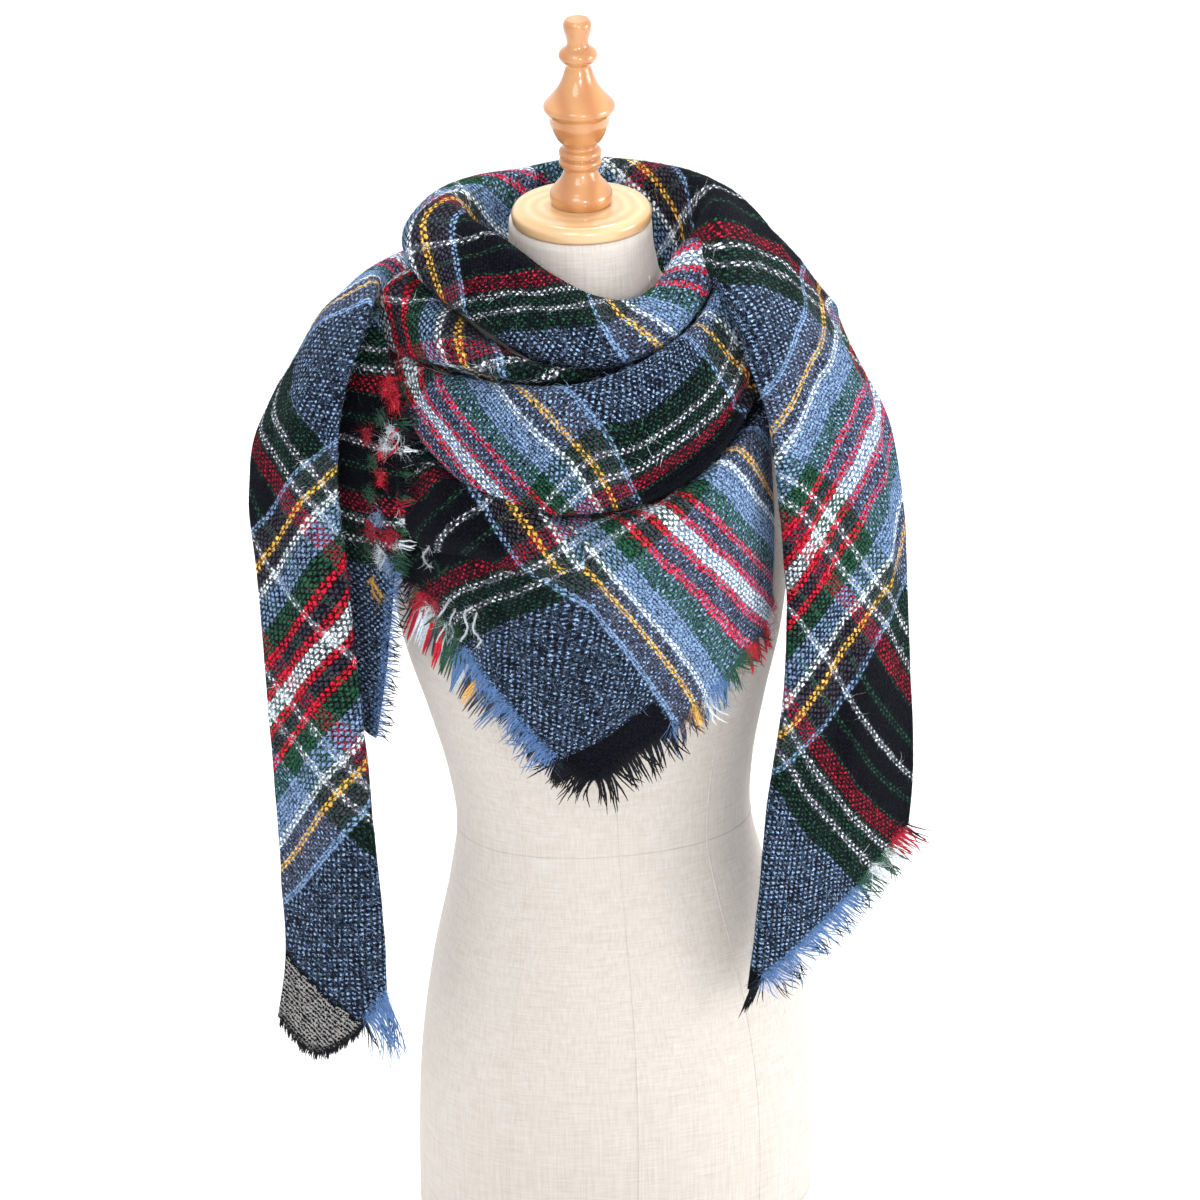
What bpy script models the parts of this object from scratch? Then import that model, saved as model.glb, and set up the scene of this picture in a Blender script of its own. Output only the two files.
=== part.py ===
"""Plaid blanket scarf, worn as a bandana on a limbless linen dress form.

A square of brushed cloth is folded corner to corner.  Its apex hangs in front, its two
tails go round the neck, cross at the nape and come forward over the shoulders.  The form
stands on its flat base, with a turned wooden finial on the cap of its neck.

Frame: +Z is up, the front faces -Y, and the origin is in the form's flat base, below the
middle of the neck.  A turn is an angle round the neck's axis: 0 is the front, +90 is +X.
Tables are in millimetres and degrees; everything that is built is in metres.
"""
import math

import bmesh
import bpy
import numpy as np

MM = 0.001
WALL = 3.0 * MM                 # brushed cloth, both faces of the nap
CLEAR = 0.5 * MM                # gap between pieces that touch

def at(turn, radius, height):
    """Place in millimetres of a point given by its turn, radius and height."""
    angle = math.radians(turn)
    return (radius * math.sin(angle), -radius * math.cos(angle), height)


# ---------------------------------------------------------------- the dress form
NECK_Y = -10 * MM
CAP_RADIUS = 52.5 * MM
CAP_BOTTOM = 837 * MM
CAP_EDGE = 848 * MM
CAP_ROUND = 2 * MM
CAP_CROWN = 851 * MM
FORM_SIDES = 40
FORM_FULLNESS = 0.92            # 1 is a plain ellipse, less is squarer
TURNED_SIDES = 28

# height, half width, front depth, back depth, lean towards +X
FORM_RINGS = (
    (0, 157, 112, 108, 11),
    (60, 158, 114, 116, 13),
    (140, 154, 112, 121, 14),
    (220, 141, 102, 112, 13),
    (290, 123, 90, 95, 10),
    (335, 115, 84, 84, 8),
    (385, 119, 89, 83, 6),
    (440, 131, 99, 89, 4),
    (500, 146, 112, 96, 2),
    (560, 153, 117, 101, 1),
    (610, 151, 112, 104, 0),
    (655, 154, 104, 103, 0),
    (690, 160, 86, 96, 0),
    (712, 160, 70, 84, 0),
    (730, 146, 60, 70, 0),
    (746, 120, 57, 60, 0),
    (762, 88, 58, 52, 0),
    (780, 65, 61, 46, 0),
    (806, 56, 61, 43, 0),
    (836.6, 53, 61, 42, 0),
)

# radius and height above the cap's crown, from the top down
FINIAL_PROFILE = (
    (8.5, 145), (9.6, 143.5), (9.6, 123), (12.6, 121), (14.4, 117), (12.6, 112.5),
    (9.8, 110.5), (11, 103), (16, 91.5), (24, 81.5), (26.4, 78.5), (26.4, 74.5),
    (23.6, 71.5), (22.4, 64), (17.5, 52.5), (12.6, 45), (15.6, 42.5), (15.6, 38.5),
    (13.4, 37), (15.6, 35.2), (15.6, 31.2), (12.8, 29), (14.5, 21.5), (20.5, 13.5),
    (23.2, 9), (23.2, 3.5), (22, 0.4),
)

# ---------------------------------------------------------------- stretches round the neck
# turn, then radius and height of: hidden upper edge, ridge, belly, lower rim, hidden tuck
COWL_INNER = (
    (-166, 82, 800, 94, 840, 108, 835, 115, 817, 107, 803),
    (-140, 81, 803, 95, 844, 111, 839, 119, 818, 110, 804),
    (-100, 78, 808, 97, 850, 121, 842, 131, 819, 118, 807),
    (-80, 74, 812, 90, 850, 121, 843, 132, 815, 118, 803),
    (-50, 73, 804, 82, 840, 108, 826, 122, 794, 107, 782),
    (-25, 73, 790, 79, 820, 102, 807, 120, 775, 104, 764),
    (0, 73, 778, 78, 802, 100, 793, 119, 766, 103, 756),
    (25, 73, 774, 79, 796, 102, 793, 118, 777, 104, 766),
    (45, 73, 782, 80, 808, 104, 813, 116, 801, 104, 788),
    (60, 74, 795, 82, 822, 98.2, 828.8, 107.2, 819.6, 98.5, 807.5),
    (74, 77, 790, 84, 812, 98, 816, 105, 807, 98, 797),
)
COWL_MIDDLE = (
    (-150, 98, 779, 103, 797, 106, 791, 107, 780, 103, 772),
    (-130, 101, 781, 108, 800, 113, 792, 114, 778, 108, 768),
    (-108, 106, 782, 113, 798, 126, 791, 128, 772, 117, 761),
    (-88, 111, 784, 121, 795, 149, 789.8, 152, 756, 133, 739),
    (-65, 110, 782, 122, 792, 147, 784, 149, 761, 131, 752),
    (-45, 106, 768, 118, 777, 138, 778, 145, 765, 129, 755),
    (-25, 104, 754, 114, 762, 126, 766, 132, 760, 121, 752),
    (-5, 106, 752.3, 108.4, 755, 112.4, 756.6, 115.4, 753.2, 112, 750.4),
)
FRONT_SWAG = (
    (-74, 141, 745.5, 146, 748.5, 151, 742, 151, 733, 144, 729),
    (-60, 127, 734, 139, 747, 156, 730, 158, 707, 141, 696),
    (-45, 114, 730, 134, 749, 157, 722, 160, 684, 141, 673),
    (-30, 112, 730, 132, 751, 160, 715, 162, 665, 142, 655),
    (-12, 112, 730, 131, 754, 163, 712, 162, 667, 142, 657),
    (5, 110, 738, 128, 761, 163, 716, 162, 671, 142, 661),
    (22, 108, 752, 126, 774, 160, 728, 160, 683, 142, 673),
    (38, 108, 768, 125, 788, 152, 748, 158, 709, 141, 698),
    (52, 107, 786, 120, 804, 140, 774, 148, 726, 134, 715),
    (68, 104, 797, 110, 811, 123, 790, 128, 757, 118, 750),
)
FOLD_LOWER = (
    (-76, 147.5, 722, 151.5, 716, 158, 690, 163, 666, 160, 652),
    (-64, 137, 698, 148, 689, 163, 666, 167, 640, 161, 630),
    (-55, 148, 681, 154, 683, 171, 660, 176, 633, 168, 620),
    (-47, 157, 670, 164, 677, 180, 652, 183, 623, 176, 613),
    (-34, 168, 657, 174, 662, 184, 642, 186, 619, 179, 610),
    (-21, 174, 655, 179, 657, 185, 641, 186, 624, 180, 616),
    (-9, 177.8, 646, 179.2, 643.5, 180.4, 640.5, 181.2, 637.4, 181.3, 634),
)
# turn, then radius and height of: hidden upper edge, ridge, chest, middle, cut edge
APRON = (
    (-78, 157.5, 633, 159.5, 626, 162, 615, 164, 603, 164, 590),
    (-65, 148, 634, 151, 639, 155, 618, 162, 595, 164, 570),
    (-45, 146, 645, 157, 648, 168, 610, 168, 565, 163, 528),
    (-30, 150, 650, 164, 650, 173, 604, 168, 542, 159, 490),
    (-18, 150, 652, 168, 650, 173, 594, 166, 520, 156, 458),
    (-8, 150, 654, 169, 650, 174, 590, 165, 512, 154, 442),
    (5, 150, 658, 169, 660, 174, 597, 165, 528, 155, 464),
    (20, 150, 670.4, 167, 677.5, 173, 612, 166, 548, 157, 488),
    (36, 144, 686, 159, 695, 166, 635, 162, 572, 156, 514),
    (58, 136, 700, 145, 708, 152, 650, 153, 590, 150, 536),
)
UNDER_STEP = 9.0                # how far the lower leaf of the apron lies behind the upper
UNDER_DROP = 10.0               # how far its cut edge shows below

# ---------------------------------------------------------------- the two tails
# places (x, y, z) of: hidden inner edge, ridge beside the neck, middle, outer edge
TAIL_RIGHT = (
    (at(-124, 127.2, 811), at(-124, 130.3, 812.4), at(-124, 133.8, 810), at(-124, 136.4, 804)),
    (at(-146, 126, 802), at(-146, 131, 815), at(-146, 141, 798), at(-146, 150, 769)),
    (at(-170, 120, 800), at(-170, 126, 829), at(-170, 139, 806), at(-170, 150, 744)),
    (at(166, 92, 790), at(166, 105, 841), at(166, 130, 816), at(166, 148, 744)),
    (at(142, 80, 786), at(142, 101, 843), at(142, 133, 818), at(142, 158, 748)),
    (at(116, 80, 784), at(116, 101, 844), at(116, 141, 813), at(116, 178, 752)),
    (at(94, 79, 784), at(94, 103, 845), at(94, 147, 806), at(94, 193, 746)),
    ((83.4, -26.9, 829.2), (93, -44, 846), (138, -34, 811), (195, -6, 738)),
    ((88.4, -81.9, 814), (95, -106, 808), (148, -82, 780), (208, -20, 706)),
    ((112, -102, 772), (107, -118, 762), (164, -100, 736), (225, -34, 672)),
    ((126, -106, 722), (121, -123, 714), (178, -106, 690), (233, -40, 634)),
    ((134, -108, 660), (128, -124, 652), (184, -106, 632), (237, -45, 590)),
    ((141, -104, 552), (135, -119, 545), (190, -103, 532), (239, -48, 512)),
    ((137, -101, 475), (131, -115, 470), (188, -101, 462), (241, -50, 455)),
    ((125, -100, 387), (119, -113, 380), (183, -101, 395), (242, -55, 405)),
    ((118, -100, 302), (111, -112, 296), (178, -102, 335), (241, -57, 368)),
    ((112, -102, 234), (105, -108, 230), (168, -102, 282), (238, -60, 335)),
)
TAIL_LEFT = (
    (at(146, 92, 776), at(146, 96, 784), at(146, 106, 774), at(146, 112, 762)),
    (at(170, 98, 776), at(170, 103, 786), at(170, 115, 756), at(170, 124, 722)),
    (at(-165, 104, 776), at(-165, 109, 787), at(-165, 121, 750), at(-165, 131, 700)),
    (at(-140, 118, 775), at(-140, 124, 786), at(-140, 142, 754), at(-140, 158, 700)),
    (at(-118, 132, 776), at(-118, 141, 788), at(-118, 172, 760), at(-118, 200, 706)),
    (at(-101, 142, 780), at(-101, 151, 792), at(-101, 184, 770), at(-101, 218, 712)),
    ((-162.3, -22.4, 786.6), (-161, -34, 800), (-190, -26, 784), (-231, 2, 716)),
    ((-172.5, -47.5, 775.7), (-175, -72, 782), (-208, -58, 758), (-246, -14, 696)),
    ((-199, -64, 742), (-191, -82, 744), (-225, -66, 722), (-255, -22, 674)),
    ((-206, -68, 690), (-199, -85, 690), (-233, -68, 672), (-259, -28, 640)),
    ((-203, -67, 602), (-195, -84, 600), (-230, -68, 590), (-256, -31, 576)),
    ((-195, -65, 472), (-187, -82, 470), (-223, -67, 462), (-252, -34, 450)),
    ((-189, -62, 345), (-180, -79, 342), (-217, -66, 335), (-249, -36, 326)),
    ((-186, -62, 252), (-177, -76, 250), (-213, -66, 232), (-250, -38, 240)),
    ((-188, -64, 222), (-179, -74, 218), (-219, -65, 186), (-257, -40, 198)),
)
TAIL_LEFT_INNER = (
    ((-177, -26.4, 777.8), (-167, -34.4, 781.9), (-157, -40, 777.5)),
    ((-198, -40, 735), (-178, -54, 738), (-149, -74, 732)),
    ((-212, -42, 660), (-182, -66, 660), (-150, -87, 656)),
    ((-210, -42, 596), (-184, -64, 594), (-159, -84, 588)),
    ((-206, -42, 520), (-188, -58, 516), (-167, -74, 508)),
    ((-202, -42, 462), (-190, -54, 458), (-175, -66, 450)),
)

# ---------------------------------------------------------------- creases
CREASE_END = 0.15               # share of a crease's depth that is left at its ends
# share along and across at each end, depth outwards (a trough is negative), half width
CREASES = {
    "cowl_inner": (
        (0.30, 0.42, 0.62, 0.52, -3.0, 9), (0.42, 0.66, 0.78, 0.60, -3.0, 8),
        (0.10, 0.35, 0.30, 0.62, -3.0, 9),
    ),
    "cowl_middle": ((0.30, 0.45, 0.80, 0.62, -3.0, 8),),
    "front_swag": (
        (0.97, 0.66, 0.52, 0.70, -9.0, 8), (0.12, 0.45, 0.42, 0.70, -3.5, 9),
        (0.80, 0.42, 0.55, 0.52, 3.0, 12),
    ),
    "fold_lower": ((0.10, 0.62, 0.75, 0.60, -4.0, 8),),
    "apron": (
        (0.30, 0.30, 0.40, 0.95, -4.5, 12), (0.52, 0.25, 0.55, 0.85, 3.0, 14),
        (0.70, 0.25, 0.68, 0.90, -3.5, 12),
    ),
    "tail_right": (
        (0.36, 0.45, 0.92, 0.50, -3.5, 10), (0.30, 0.75, 0.80, 0.80, 3.5, 12),
        (0.40, 0.30, 0.70, 0.28, 2.5, 10),
    ),
    "tail_left": (
        (0.42, 0.45, 0.90, 0.55, 3.0, 10), (0.36, 0.70, 0.80, 0.78, -3.0, 10),
    ),
}

# ---------------------------------------------------------------- fringes
STRIP = 4.5 * MM                # width of the strip that the strands hang from
STRAND_THICK = 2.4 * MM
END_MARGIN = 5 * MM
FOLD_BACK = 2                   # grid lines of a tail's turned-back edge, which has no fringe
DROOP = 0.55                    # how far a strand turns from the cloth's plane to straight down
SWAY = 0.22                     # how far a strand's end strays sideways, as a share of the spacing
SWAY_STEP = 2.4                 # turn of the sway from strand to strand, in radians
STRAND_LENGTH, STRAND_SPREAD, SPREAD_STEP = 0.85, 0.2, 1.7   # uneven lengths
STRAND_TAPER = ((0.5, 0.75), (1.0, 0.45))   # share of the length, share of the root's width
# name: (strands, length in millimetres, finish)
FRINGES = {
    "fringe_apron_left": (24, 30, "green"), "fringe_apron_right": (20, 30, "blue"),
    "fringe_apron_under": (18, 26, "red"), "fringe_tail_left_side": (18, 16, "black"),
    "fringe_tail_left_end": (14, 26, "black"), "fringe_tail_right_end": (26, 34, "blue"),
}

# ---------------------------------------------------------------- how finely each is divided
# name: (divisions along, divisions across)
DIVISIONS = {
    "cowl_inner": (36, 10), "cowl_middle": (22, 8), "front_swag": (30, 9),
    "fold_lower": (16, 7), "apron": (26, 10), "apron_under": (16, 6),
    "tail_right": (52, 8), "tail_left": (42, 8), "tail_left_inner": (12, 4),
}
COLOURS = {
    "linen": (0.80, 0.75, 0.70), "disc_wood": (0.72, 0.42, 0.18), "finial_wood": (0.62, 0.32, 0.11),
    "blue": (0.10, 0.19, 0.40), "green": (0.03, 0.14, 0.08), "red": (0.40, 0.03, 0.05),
    "black": (0.03, 0.04, 0.06),
}


# ---------------------------------------------------------------- curves and grids
def hermite(knots, rows, where):
    """Smooth curve through rows at knots, read at each place in where."""
    knots = np.asarray(knots, float)
    rows = np.asarray(rows, float)
    slopes = np.diff(rows, axis=0) / np.diff(knots).reshape((-1,) + (1,) * (rows.ndim - 1))
    tangents = np.empty_like(rows)
    tangents[0] = slopes[0]
    tangents[-1] = slopes[-1]
    before = np.diff(knots)[:-1].reshape((-1,) + (1,) * (rows.ndim - 1))
    after = np.diff(knots)[1:].reshape((-1,) + (1,) * (rows.ndim - 1))
    tangents[1:-1] = (slopes[:-1] * after + slopes[1:] * before) / (before + after)
    out = []
    for place in where:
        k = int(np.clip(np.searchsorted(knots, place) - 1, 0, len(knots) - 2))
        span = knots[k + 1] - knots[k]
        t = (place - knots[k]) / span
        out.append(
            (2 * t**3 - 3 * t**2 + 1) * rows[k] + (t**3 - 2 * t**2 + t) * span * tangents[k]
            + (3 * t**2 - 2 * t**3) * rows[k + 1] + (t**3 - t**2) * span * tangents[k + 1])
    return np.array(out)


def lengths(points):
    """Distance run along a polyline, from 0 at its first point."""
    steps = np.linalg.norm(np.diff(points, axis=0), axis=1)
    return np.concatenate(([0.0], np.cumsum(steps)))


def grid_through(rows, along, across):
    """Points (along x across) of a smooth surface through rows of places, in metres."""
    rows = np.asarray(rows, float) * MM
    middle = rows.mean(axis=1)
    knots = lengths(middle)
    fine = hermite(knots, rows, np.linspace(0, knots[-1], 4 * along + 1))
    run = lengths(fine.mean(axis=1))
    stations = np.interp(np.linspace(0, run[-1], along + 1), run, np.linspace(0, knots[-1], len(run)))
    rails = hermite(knots, rows, stations)
    sections = []
    for rail in rails:
        marks = lengths(rail)
        sections.append(hermite(marks, rail, np.linspace(0, marks[-1], across + 1)))
    return np.array(sections)


def rows_round(table):
    """Rows of places from a table of turns, radii and heights."""
    return [[at(row[0], row[k], row[k + 1]) for k in range(1, len(row), 2)] for row in table]


def normals_of(points):
    """Unit normals of a grid of points."""
    du = np.gradient(points, axis=0)
    dv = np.gradient(points, axis=1)
    normal = np.cross(du, dv)
    return normal / np.linalg.norm(normal, axis=2, keepdims=True)


def creased(points, creases):
    """The grid with soft troughs and ridges pressed into it along straight runs."""
    if not creases:
        return points
    n, m = points.shape[:2]
    along = np.mean([lengths(points[:, j]) for j in range(m)], axis=0)
    across = np.mean([lengths(points[i]) for i in range(n)], axis=0)
    place_s, place_t = np.meshgrid(along, across, indexing="ij")
    push = np.zeros((n, m))
    for u0, v0, u1, v1, depth, width in creases:
        start = np.array((u0 * along[-1], v0 * across[-1]))
        run = np.array((u1 * along[-1], v1 * across[-1])) - start
        share = ((place_s - start[0]) * run[0] + (place_t - start[1]) * run[1]) / (run @ run)
        near = np.clip(share, 0, 1)
        distance = np.hypot(place_s - start[0] - near * run[0], place_t - start[1] - near * run[1])
        fade = np.clip(4 * near * (1 - near) + CREASE_END, 0, 1)
        push += depth * MM * fade * np.exp(-(distance / (width * MM)) ** 2)
    return points + normals_of(points) * (push * outward_sign(points))[..., None]


def outward_sign(points):
    """+1 where the grid's normals point away from the neck and up, else -1."""
    normal = normals_of(points)
    away = points - np.array((0, 0.03, points[..., 2].mean() - 0.02))
    return 1.0 if (normal * away).sum() > 0 else -1.0


# ---------------------------------------------------------------- meshes
def material(name):
    made = bpy.data.materials.get(name) or bpy.data.materials.new(name)
    made.use_nodes = True
    shader = made.node_tree.nodes["Principled BSDF"]
    shader.inputs["Base Color"].default_value = (*COLOURS[name], 1.0)
    shader.inputs["Roughness"].default_value = 0.25 if "wood" in name else 0.9
    return made


def place(name, vertices, faces, finish):
    """New object of one closed body, with its faces pointing out."""
    mesh = bpy.data.meshes.new(name)
    mesh.from_pydata([tuple(v) for v in vertices], [], faces)
    body = bmesh.new()
    body.from_mesh(mesh)
    bmesh.ops.recalc_face_normals(body, faces=body.faces)
    if body.calc_volume(signed=True) < 0:
        bmesh.ops.reverse_faces(body, faces=body.faces)
    body.to_mesh(mesh)
    body.free()
    mesh.shade_smooth()
    mesh.set_sharp_from_angle(angle=math.radians(40))
    obj = bpy.data.objects.new(name, mesh)
    obj.data.materials.append(material(finish))
    bpy.context.scene.collection.objects.link(obj)
    return obj


def cloth(name, points, finish):
    """A wall of cloth with the grid of points in its middle."""
    side = normals_of(points) * WALL / 2
    n, m = points.shape[:2]
    vertices = np.concatenate(((points + side).reshape(-1, 3), (points - side).reshape(-1, 3)))
    under = n * m

    def index(i, j, layer=0):
        return layer * under + i * m + j

    faces = []
    for i in range(n - 1):
        for j in range(m - 1):
            a, b, c, d = index(i, j), index(i + 1, j), index(i + 1, j + 1), index(i, j + 1)
            # the same, shorter diagonal on both sides, so a twisted cell keeps its thickness
            if np.linalg.norm(points[i + 1, j + 1] - points[i, j]) > np.linalg.norm(points[i, j + 1] - points[i + 1, j]):
                a, b, c, d = b, c, d, a
            for corners in ((a, b, c), (a, c, d)):
                faces.append(corners)
                faces.append([under + k for k in reversed(corners)])
    rim = [(i, 0) for i in range(n)] + [(n - 1, j) for j in range(1, m)]
    rim += [(i, m - 1) for i in range(n - 2, -1, -1)] + [(0, j) for j in range(m - 2, 0, -1)]
    for k, (i, j) in enumerate(rim):
        a, b = rim[(k + 1) % len(rim)]
        faces.append([index(i, j), index(i, j, 1), index(a, b, 1), index(a, b)])
    return place(name, vertices, faces, finish)


def turned(name, profile, sides, finish, base):
    """Body of revolution about the vertical through base; the profile runs top to bottom."""
    vertices = []
    for radius, height in profile:
        for k in range(sides):
            angle = 2 * math.pi * k / sides
            vertices.append((base[0] + radius * math.cos(angle), base[1] + radius * math.sin(angle),
                             base[2] + height))
    return place(name, vertices, ring_faces(len(profile), sides), finish)


def fringe(name, edge, leading, normal):
    """Strands with their roots fused into a narrow strip, parted from the cloth's edge.

    edge runs along the cloth, leading points away from it in its plane, normal is its normal."""
    count, reach, finish = FRINGES[name]
    stations = 2 * count + 1
    run = lengths(edge)
    marks = np.linspace(END_MARGIN, run[-1] - END_MARGIN, stations)
    root = np.stack([np.interp(marks, run, edge[:, k]) for k in range(3)], axis=1)
    ahead = np.stack([np.interp(marks, run, leading[:, k]) for k in range(3)], axis=1)
    side = np.stack([np.interp(marks, run, normal[:, k]) for k in range(3)], axis=1)
    ahead /= np.linalg.norm(ahead, axis=1, keepdims=True)
    side /= np.linalg.norm(side, axis=1, keepdims=True)
    vertices, faces = [], []
    for k in range(stations):
        for out, up in ((CLEAR, -1), (CLEAR, 1), (CLEAR + STRIP, 1), (CLEAR + STRIP, -1)):
            vertices.append(root[k] + ahead[k] * out + side[k] * up * STRAND_THICK / 2)
    for k in range(stations - 1):
        a, b = 4 * k, 4 * k + 4
        faces += [[a, a + 1, b + 1, b], [a + 1, a + 2, b + 2, b + 1], [a + 3, a, b, b + 3]]
        if k % 2:
            faces.append([a + 2, a + 3, b + 3, b + 2])
            continue
        ring = [a + 2, a + 3, b + 3, b + 2]
        corners = np.array([vertices[i] for i in ring])
        down = np.array((0, 0, -1.0))
        along = (root[k + 1] - root[k]) / np.linalg.norm(root[k + 1] - root[k])
        length = reach * MM * (STRAND_LENGTH + STRAND_SPREAD * math.sin(k * SPREAD_STEP))
        spacing = 2 * (marks[1] - marks[0])
        sway = SWAY * spacing / length * math.sin(k * SWAY_STEP) * along
        for share, slim in STRAND_TAPER:
            heading = ahead[k] * (1 - DROOP * share) + down * DROOP * share + sway
            middle = corners.mean(axis=0) + heading / np.linalg.norm(heading) * length * share
            first = len(vertices)
            vertices += list(middle + (corners - corners.mean(axis=0)) * slim)
            faces += [[ring[i], ring[(i + 1) % 4], first + (i + 1) % 4, first + i] for i in range(4)]
            ring = [first, first + 1, first + 2, first + 3]
        faces.append(ring)
    faces += [[0, 1, 2, 3], [4 * (stations - 1) + i for i in range(4)]]
    return place(name, vertices, faces, finish)


def ring_faces(rings, sides):
    """Faces of stacked rings, closed by a flat cap at each end."""
    faces = [list(range(sides)), list(range((rings - 1) * sides, rings * sides))]
    for i in range(rings - 1):
        for k in range(sides):
            n = (k + 1) % sides
            faces.append([i * sides + k, i * sides + n, (i + 1) * sides + n, (i + 1) * sides + k])
    return faces


# ---------------------------------------------------------------- the parts
def build_form():
    """Torso and neck: one smooth closed body on a flat base."""
    vertices = []
    for height, half, front, back, lean in FORM_RINGS:
        for k in range(FORM_SIDES):
            angle = 2 * math.pi * k / FORM_SIDES
            across = math.copysign(abs(math.sin(angle)) ** FORM_FULLNESS, math.sin(angle))
            forward = math.copysign(abs(math.cos(angle)) ** FORM_FULLNESS, math.cos(angle))
            depth = front if forward > 0 else back
            vertices.append(((lean + half * across) * MM, -depth * forward * MM, height * MM))
    place("torso", vertices, ring_faces(len(FORM_RINGS), FORM_SIDES), "linen")


def build_woodwork():
    """Neck cap and finial."""
    centre = (0, NECK_Y, 0)
    flat, rounded = 0.5 * CAP_RADIUS, 0.93 * CAP_RADIUS
    cap = ((flat, CAP_CROWN), (rounded, CAP_CROWN - 1.5 * MM), (CAP_RADIUS, CAP_EDGE - CAP_ROUND),
           (CAP_RADIUS, CAP_BOTTOM + CAP_ROUND), (CAP_RADIUS - CAP_ROUND, CAP_BOTTOM))
    turned("neck_cap", cap, FORM_SIDES, "disc_wood", centre)
    profile = [(radius * MM, height * MM) for radius, height in FINIAL_PROFILE]
    turned("finial", profile, TURNED_SIDES, "finial_wood", (0, NECK_Y, CAP_CROWN))


def stretch(name, rows, finish):
    """One stretch of the scarf; returns the grid in the middle of its wall."""
    points = creased(grid_through(rows, *DIVISIONS[name]), CREASES.get(name))
    cloth(name, points, finish)
    return points


def under_rows():
    """The lower leaf of the apron: the left part of its table, moved in and down."""
    rows = []
    for turn, _, _, _, _, r_chest, z_chest, r_middle, z_middle, r_edge, z_edge in APRON[1:6]:
        step = UNDER_STEP
        rows.append((turn, r_chest - step, z_chest - step, r_middle - step, z_middle - step,
                     r_edge - step, z_edge - UNDER_DROP))
    return rows_round(rows)


def side_fringe(name, points, first=0, last=None):
    """Fringe along the outer edge of a stretch, between two of its sections."""
    part = points[first:last]
    fringe(name, part[:, -1], part[:, -1] - part[:, -2], normals_of(points)[first:last, -1])


def end_fringe(name, points):
    """Fringe along the last section of a stretch."""
    part = points[:, FOLD_BACK:]
    fringe(name, part[-1], part[-1] - part[-2], normals_of(points)[-1, FOLD_BACK:])


def build_scarf():
    stretch("cowl_inner", rows_round(COWL_INNER), "green")
    stretch("cowl_middle", rows_round(COWL_MIDDLE), "red")
    stretch("front_swag", rows_round(FRONT_SWAG), "blue")
    stretch("fold_lower", rows_round(FOLD_LOWER), "black")
    apron = stretch("apron", rows_round(APRON), "blue")
    under = stretch("apron_under", under_rows(), "red")
    tail_right = stretch("tail_right", TAIL_RIGHT, "green")
    tail_left = stretch("tail_left", TAIL_LEFT, "red")
    inner = stretch("tail_left_inner", TAIL_LEFT_INNER, "black")
    tip = int(np.argmin(apron[:, -1, 2]))
    side_fringe("fringe_apron_left", apron, 0, tip + 1)
    side_fringe("fringe_apron_right", apron, tip, None)
    side_fringe("fringe_apron_under", under)
    side_fringe("fringe_tail_left_side", inner, len(inner) // 2)
    end_fringe("fringe_tail_left_end", tail_left)
    end_fringe("fringe_tail_right_end", tail_right)


def main():
    for obj in list(bpy.data.objects):
        bpy.data.objects.remove(obj)
    build_form()
    build_woodwork()
    build_scarf()


main()
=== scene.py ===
"""Looks of a plaid blanket scarf, worn as a bandana on a limbless linen dress form.

Each stretch of the scarf is a thin shell on its solid's own form, with soft creases.  Its
weave is worked out from places on the cloth: thread places of family A and family B, in
millimetres from the edge of a patterned band.  The places are fitted to each stretch as
flat cloth would lie on it, through a few marked threads.
"""
import math

import bmesh
import bpy
import numpy as np
from mathutils import Matrix, Vector, noise
from mathutils.bvhtree import BVHTree


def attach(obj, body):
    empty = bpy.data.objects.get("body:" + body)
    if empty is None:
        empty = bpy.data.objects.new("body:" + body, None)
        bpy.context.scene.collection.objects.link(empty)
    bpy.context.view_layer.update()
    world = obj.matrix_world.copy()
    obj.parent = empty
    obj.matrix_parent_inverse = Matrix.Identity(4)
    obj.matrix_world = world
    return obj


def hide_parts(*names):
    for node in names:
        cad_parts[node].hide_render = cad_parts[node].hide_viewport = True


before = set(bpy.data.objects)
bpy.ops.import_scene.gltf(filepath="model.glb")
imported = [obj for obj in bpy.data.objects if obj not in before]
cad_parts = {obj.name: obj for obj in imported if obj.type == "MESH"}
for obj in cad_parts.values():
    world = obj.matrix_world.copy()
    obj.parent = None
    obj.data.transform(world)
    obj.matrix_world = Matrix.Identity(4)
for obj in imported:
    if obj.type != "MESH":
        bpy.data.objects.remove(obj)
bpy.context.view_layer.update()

MM = 0.001
WALL = 3.0 * MM

# ---------------------------------------------------------------- camera
PICTURE = 1200                       # pixels each way
PIXEL = 0.77 * MM                    # size of a pixel at the aim
SENSOR = 36.0
AIM = Vector((0.0095, 0.006, 0.5156))
DISTANCE = 5.0
VIEW_TURN, VIEW_TILT, VIEW_ROLL = math.radians(-8), math.radians(25), math.radians(-1.3)

BACKWARD = Vector((math.sin(VIEW_TURN) * math.cos(VIEW_TILT),
                   -math.cos(VIEW_TURN) * math.cos(VIEW_TILT), math.sin(VIEW_TILT)))
LEVEL_RIGHT = Vector((0, 0, 1)).cross(BACKWARD).normalized()
LEVEL_UP = BACKWARD.cross(LEVEL_RIGHT)
RIGHT = math.cos(VIEW_ROLL) * LEVEL_RIGHT + math.sin(VIEW_ROLL) * LEVEL_UP
UP = math.cos(VIEW_ROLL) * LEVEL_UP - math.sin(VIEW_ROLL) * LEVEL_RIGHT
EYE = AIM + DISTANCE * BACKWARD


def build_camera():
    data = bpy.data.cameras.new("camera")
    data.sensor_width = SENSOR
    data.lens = SENSOR * DISTANCE / (PICTURE * PIXEL)
    camera = bpy.data.objects.new("camera", data)
    bpy.context.scene.collection.objects.link(camera)
    turn = Matrix((RIGHT, UP, BACKWARD)).transposed().to_4x4()
    camera.matrix_world = Matrix.Translation(EYE) @ turn
    bpy.context.scene.camera = camera


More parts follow.
